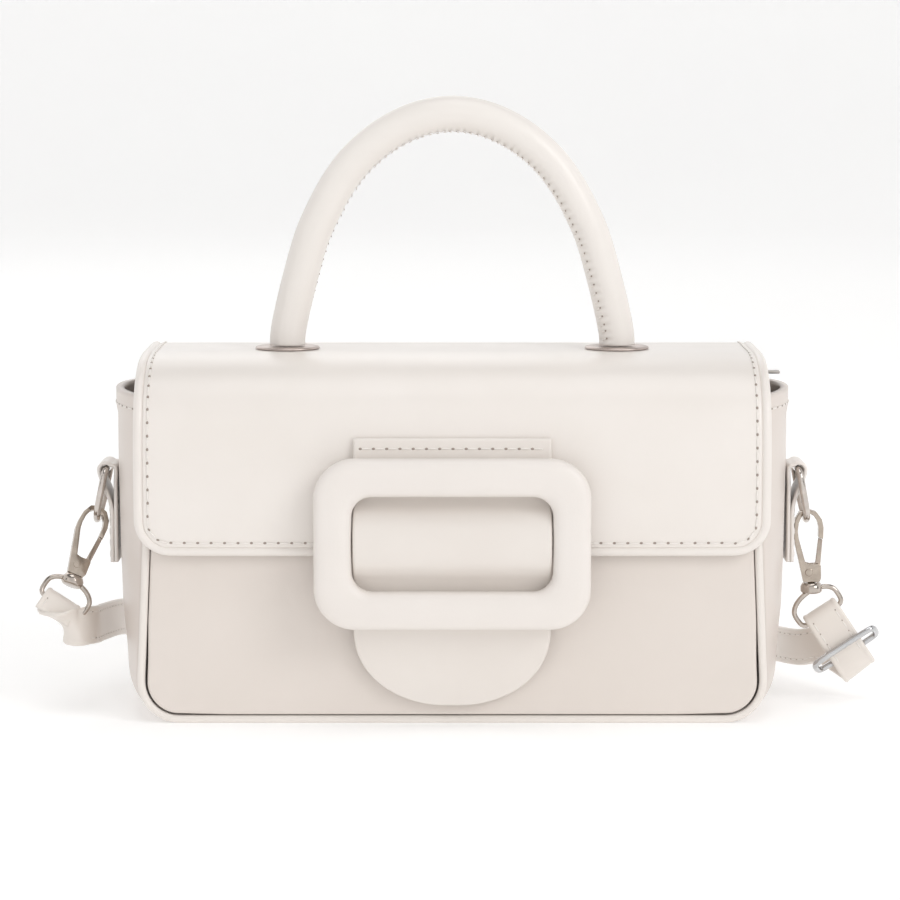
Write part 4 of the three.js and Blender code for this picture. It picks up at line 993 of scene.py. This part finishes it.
hook_nickel = plated("cast_nickel_plate", "#cdc1b4", "#9d9186", 0.17)
gate_nickel = plated("gate_nickel_plate", "#c9bcb0", "#998d83", 0.15)
for where in ("left", "right"):
    for part, rounded, material in (("hook", 0.4, hook_nickel), ("lever", 0.25, gate_nickel)):
        node = f"clasp_{part}_{where}"
        settle(softened(f"{node}_metal", node, rounded, material), "nickel", node,
               body=f"{part}_{where}")

# ---------------------------------------------------------------- swivels
# Below each hook, a turned collar carries a soldered wire loop, flattened to an oval, which holds
# the end of the strap. Collar and loop are one plated piece.
HOOK_TOP = 27.3
HOOK_WIRE = 1.3
EYE_OFFSET = -1
COLLAR = [(0, 0), (2.5, 0), (2.95, 0.12), (3.42, 0.6), (3.5, 0.85), (3.5, 2.1), (3.4, 2.4),
          (2.9, 3.3), (2.7, 3.4), (1.6, 3.4), (1.5, 3.3), (1.5, 2.2), (0, 2.2)]
LOOP_HALF_WIDTH = 7.7
LOOP_HALF_HEIGHT = 4.5
LOOP_WIRE = 1.6
LOOP_SQUARENESS = 0.36
HANG = {
    "left": {"lean": 21, "out": 24, "turn": 8, "slack": 1.5, "seat": 0.7, "forward": 3,
             "loop_turn": -12, "loop_across": 0, "loop_down": 2.8},
    "right": {"lean": -1.5, "out": 0, "turn": 0, "slack": 1, "seat": -0.45, "forward": 0,
              "loop_turn": 32, "loop_across": 1.4, "loop_down": 3.6},
}


def hang_frame(where):
    """A swivel's frame in mm: X across its loop, Y up its axis, Z towards the viewer."""
    hang = HANG[where]
    side = -1 if where == "left" else 1
    lean, out, tilt = (math.radians(a) for a in (hang["lean"], hang["out"], RING_TILT[where]))
    up = Vector((math.sin(lean) * math.cos(out), math.sin(out), math.cos(lean) * math.cos(out)))
    across = Vector((math.cos(lean), 0, -math.sin(lean)))
    drop = RING_LEG + RING_HALF
    hold = Vector((side * (SIDE_FACE + RING_BAR_OUT + drop * math.sin(tilt)), -hang["forward"],
                   RING_BAR_HEIGHT - drop * math.cos(tilt) + RING_HALF
                   - math.sqrt(RING_HALF ** 2 - hang["forward"] ** 2)))
    turned = Matrix.Rotation(math.radians(hang["turn"]), 3, up) @ across
    eye = HOOK_TOP - HOOK_WIRE - hang["slack"] - RING_WIRE / 2
    origin = hold - up * eye - turned * (EYE_OFFSET + hang["seat"])
    return Matrix.Translation(origin) @ Matrix((across, up, across.cross(up))).transposed().to_4x4()


loop_round = disc(LOOP_WIRE / 2, 14)
for where in ("left", "right"):
    hang = HANG[where]
    turn = Matrix.Rotation(math.radians(hang["loop_turn"]), 4, "Z")
    loop_points = []
    for i in range(24):
        angle = 2 * math.pi * i / 24
        power = LOOP_SQUARENESS if angle > math.pi else 1
        c, s = math.cos(angle), math.sin(angle)
        flat = turn @ Vector((LOOP_HALF_WIDTH * math.copysign(abs(c) ** power, c),
                              LOOP_HALF_HEIGHT * math.copysign(abs(s) ** power, s), 0))
        hung = flat + Vector((hang["loop_across"], -hang["loop_down"], 0))
        loop_points.append(hang_frame(where) @ hung)
    out = hang_frame(where).to_3x3() @ Vector((0, 0, 1))
    loop = tube(smooth_line(loop_points, 0.5, closed=True), loop_round, closed=True, up=out)
    collar = spun([(r * MM, z * MM) for r, z in COLLAR], 40)
    upright = Matrix.Rotation(math.radians(-90), 4, "X")
    mesh = bpy.data.meshes.new("collar")
    collar.transform(Matrix.Scale(MM, 4) @ hang_frame(where) @ upright @ Matrix.Scale(1 / MM, 4))
    collar.to_mesh(mesh)
    collar.free()
    loop.from_mesh(mesh)
    bpy.data.meshes.remove(mesh)
    swivel = as_object(f"clasp_swivel_{where}_metal", loop, nickel)
    swivel.data.set_sharp_from_angle(angle=math.radians(50))
    settle(swivel, "nickel", f"clasp_swivel_{where}")

# ---------------------------------------------------------------- shoulder strap
# One narrow strap, 1.1 m from fold to fold: leather turned over a thin core and stitched along
# both edges. It is folded over each wire loop; behind the bag it stands on edge in one long bend.
STRAP_WIDTH = 12
STRAP_WALL = 1.8
STRAP_REACH = 452
STRAP_BAY = 84
FOLD = LOOP_WIRE / 2 + 0.6 + STRAP_WALL / 2
SLIDER_AT = 12.6
TURN_AT = 21.5
SHORT_LAYER = 9.5
LEFT_CREASE = [
    {"x": 10.6, "y": 9, "z": -7.6, "lean_x": 0.04, "lean_z": 1},
    {"x": 8.8, "y": 1.2, "z": -6.6, "lean_x": 0.2, "lean_z": 0.98},
    {"x": 5.2, "y": -3, "z": -6.4, "lean_x": 0.5, "lean_z": 0.87},
    {"x": 1.4, "y": -2.6, "z": -5, "lean_x": 0.74, "lean_z": 0.67},
]


def loop_bar(where):
    """The middle of a wire loop's lower run, and the direction that it runs in."""
    hang = HANG[where]
    turn = math.radians(hang["loop_turn"])
    held = hang_frame(where)
    centre = held @ Vector((hang["loop_across"] + LOOP_HALF_HEIGHT * math.sin(turn),
                            -hang["loop_down"] - LOOP_HALF_HEIGHT * math.cos(turn), 0))
    return centre, held.to_3x3() @ Vector((math.cos(turn), math.sin(turn), 0))


strap_knots = []


def station(point, width):
    strap_knots.append((Vector(point), Vector(width).normalized()))


centre, wide = loop_bar("right")
down = Vector((wide.z, 0, -wide.x)).normalized()
front = Vector((0, -1, 0))
right_centre, right_wide, right_down = centre, wide, down
station(centre + down * SHORT_LAYER - front * FOLD, wide)
station(centre + down * SHORT_LAYER / 2 - front * FOLD, wide)
for i in range(7):
    angle = math.pi * i / 6
    station(centre - down * FOLD * math.sin(angle) - front * FOLD * math.cos(angle), wide)
station(centre + down * SLIDER_AT / 2 + front * FOLD, wide)
station(centre + down * SLIDER_AT + front * (FOLD - 0.6), wide)
station(centre + down * (TURN_AT - 2.6) + front * (FOLD - 1.2), wide)
station(centre + down * (TURN_AT - 0.3) - front * 0.4, (wide.x, 0, wide.z + 0.1))
station(centre + down * (TURN_AT - 0.6) - front * 3.6, (wide.x, 0, wide.z + 0.2))
station(centre + down * (TURN_AT - 3.2) - front * 8 + Vector((-2.2, 0, 0)), (0.5, 0, 0.85))
half = STRAP_WIDTH / 2 + 0.3
station((SIDE_FACE + 14.6, 15, centre.z - 12.6), (0.22, 0, 1))
station((SIDE_FACE + 8.5, 27, half + 6), (0, 0, 1))
station((SIDE_FACE + 3, 44, half + 4), (0, 0, 1))
station((SIDE_FACE - 2, 76, half + 0.3), (0, 0, 1))
station((STRAP_BAY + 4, 150, half), (0, 0, 1))
station((STRAP_BAY, 230, half), (0, 0, 1))
for i in range(9):
    angle = math.pi * i / 8
    back = STRAP_REACH - STRAP_BAY + STRAP_BAY * math.sin(angle)
    station((STRAP_BAY * math.cos(angle), back, half), (0, 0, 1))
station((-STRAP_BAY, 230, half), (0, 0, 1))
station((-STRAP_BAY - 4, 150, half), (0, 0, 1))
station((-SIDE_FACE + 1, 84, half + 2.5), (0, 0, 1))
station((-SIDE_FACE - 3, 42, half + 13.6), (0, 0, 1))
station((-SIDE_FACE - 6.6, 10, half + 17.6), (-0.06, 0, 1))
centre, wide = loop_bar("left")
down = Vector((wide.z, 0, -wide.x)).normalized()
forward = wide.cross(down).normalized()
forward = -forward if forward.y > 0 else forward
leave = (down * 0.9 + forward * 0.44).normalized()
facing = wide.cross(leave).normalized()
facing = -facing if facing.y > 0 else facing
for row in LEFT_CREASE:
    station(centre + Vector((row["x"], row["y"], row["z"])), (-row["lean_x"], 0, row["lean_z"]))
station(centre + leave * 2 - facing * FOLD, -wide)
for i in range(7):
    angle = math.pi * i / 6
    station(centre - leave * FOLD * math.sin(angle) - facing * FOLD * math.cos(angle), -wide)
station(centre + leave * 2.5 + facing * FOLD, -wide)
station(centre + leave * 5 + facing * (FOLD - 0.2), -wide)

# Between the stations both the middle line and the lean of the width run smoothly.
strap_line = smooth_line([p for p, w in strap_knots], 0.8)
strap_frames = []
reached = 0
knot_at = []
for knot, _ in strap_knots:
    reached = min(range(reached, len(strap_line)),
                  key=lambda i: (strap_line[i] - knot).length + 0.02 * (i - reached))
    knot_at.append(reached)
for i, point in enumerate(strap_line):
    along = (strap_line[min(i + 1, len(strap_line) - 1)] - strap_line[max(i - 1, 0)]).normalized()
    k = max(n for n, at in enumerate(knot_at) if at <= i or n == 0)
    k = min(k, len(strap_knots) - 2)
    span = max(1, knot_at[k + 1] - knot_at[k])
    part = min(1, max(0, (i - knot_at[k]) / span))
    part = part * part * (3 - 2 * part)
    width = strap_knots[k][1].lerp(strap_knots[k + 1][1], part)
    width = (width - along * width.dot(along)).normalized()
    strap_frames.append(Matrix.Translation(point)
                        @ Matrix((width, along.cross(width), along)).transposed().to_4x4())
strap_section = flat_strap(STRAP_WIDTH / 2, STRAP_WALL, bead=0.12, dip=0.12, dip_at=1.9)
strap_leather = leather("strap_calf", "#ece5de", "#e2dad2", roughness=0.38, folds=0.45)
dress("shoulder_strap_leather", swept(strap_frames, lambda row: strap_section), strap_leather,
      "leather", "shoulder_strap")

# No stitches are drawn where the strap folds.
strap_marks = []
for face in (1, -1):
    for edge in (-1, 1):
        for i in range(3, len(strap_frames) - 3, 5):
            turned = strap_frames[i].to_3x3()
            before, after = (strap_frames[n].to_3x3().col[2] for n in (i - 3, i + 3))
            if before.angle(after) > math.radians(22):
                continue
            place = strap_frames[i] @ Vector((edge * (STRAP_WIDTH / 2 - 1.9),
                                              face * (STRAP_WALL / 2 - 0.12), 0))
            strap_marks.append((place, turned @ Vector((0, 0, 1)), turned @ Vector((0, face, 0))))
sewn("shoulder_strap_stitches", strap_marks, 2.9, thick=0.46, hole=0.22)

# ---------------------------------------------------------------- strap slider
# A bright wire slider, 2 mm thick and bent to a long rectangle, grips the strap near its right
# end. Its wire ends butt together at the back.
SLIDER_HALF = 11
SLIDER_DEPTH = 4.6
SLIDER_WIRE = 2
SLIDER_BEND = 2
middle = right_centre + right_down * (SLIDER_AT + 0.6) + front * (FOLD - 2.2)
deep = (front - right_down * 0.55).normalized()
slider_points = []
for quarter, (sx, sy) in enumerate(CORNERS):
    for k in range(3):
        angle = math.pi / 4 * (2 * quarter + k)
        x = (SLIDER_HALF - SLIDER_BEND) * sx + SLIDER_BEND * math.cos(angle)
        y = (SLIDER_DEPTH - SLIDER_BEND) * sy + SLIDER_BEND * math.sin(angle)
        slider_points.append(middle + right_wide * x + deep * y)
slider_line = smooth_line(slider_points, 0.5, closed=True)
bright = plated("bright_chrome_wire", "#d6d6d7", "#b9babc", 0.1)
dress("strap_slider_metal", tube(slider_line, disc(SLIDER_WIRE / 2, 18), closed=True,
                                 up=right_wide.cross(deep)), bright, "chrome", "strap_slider")
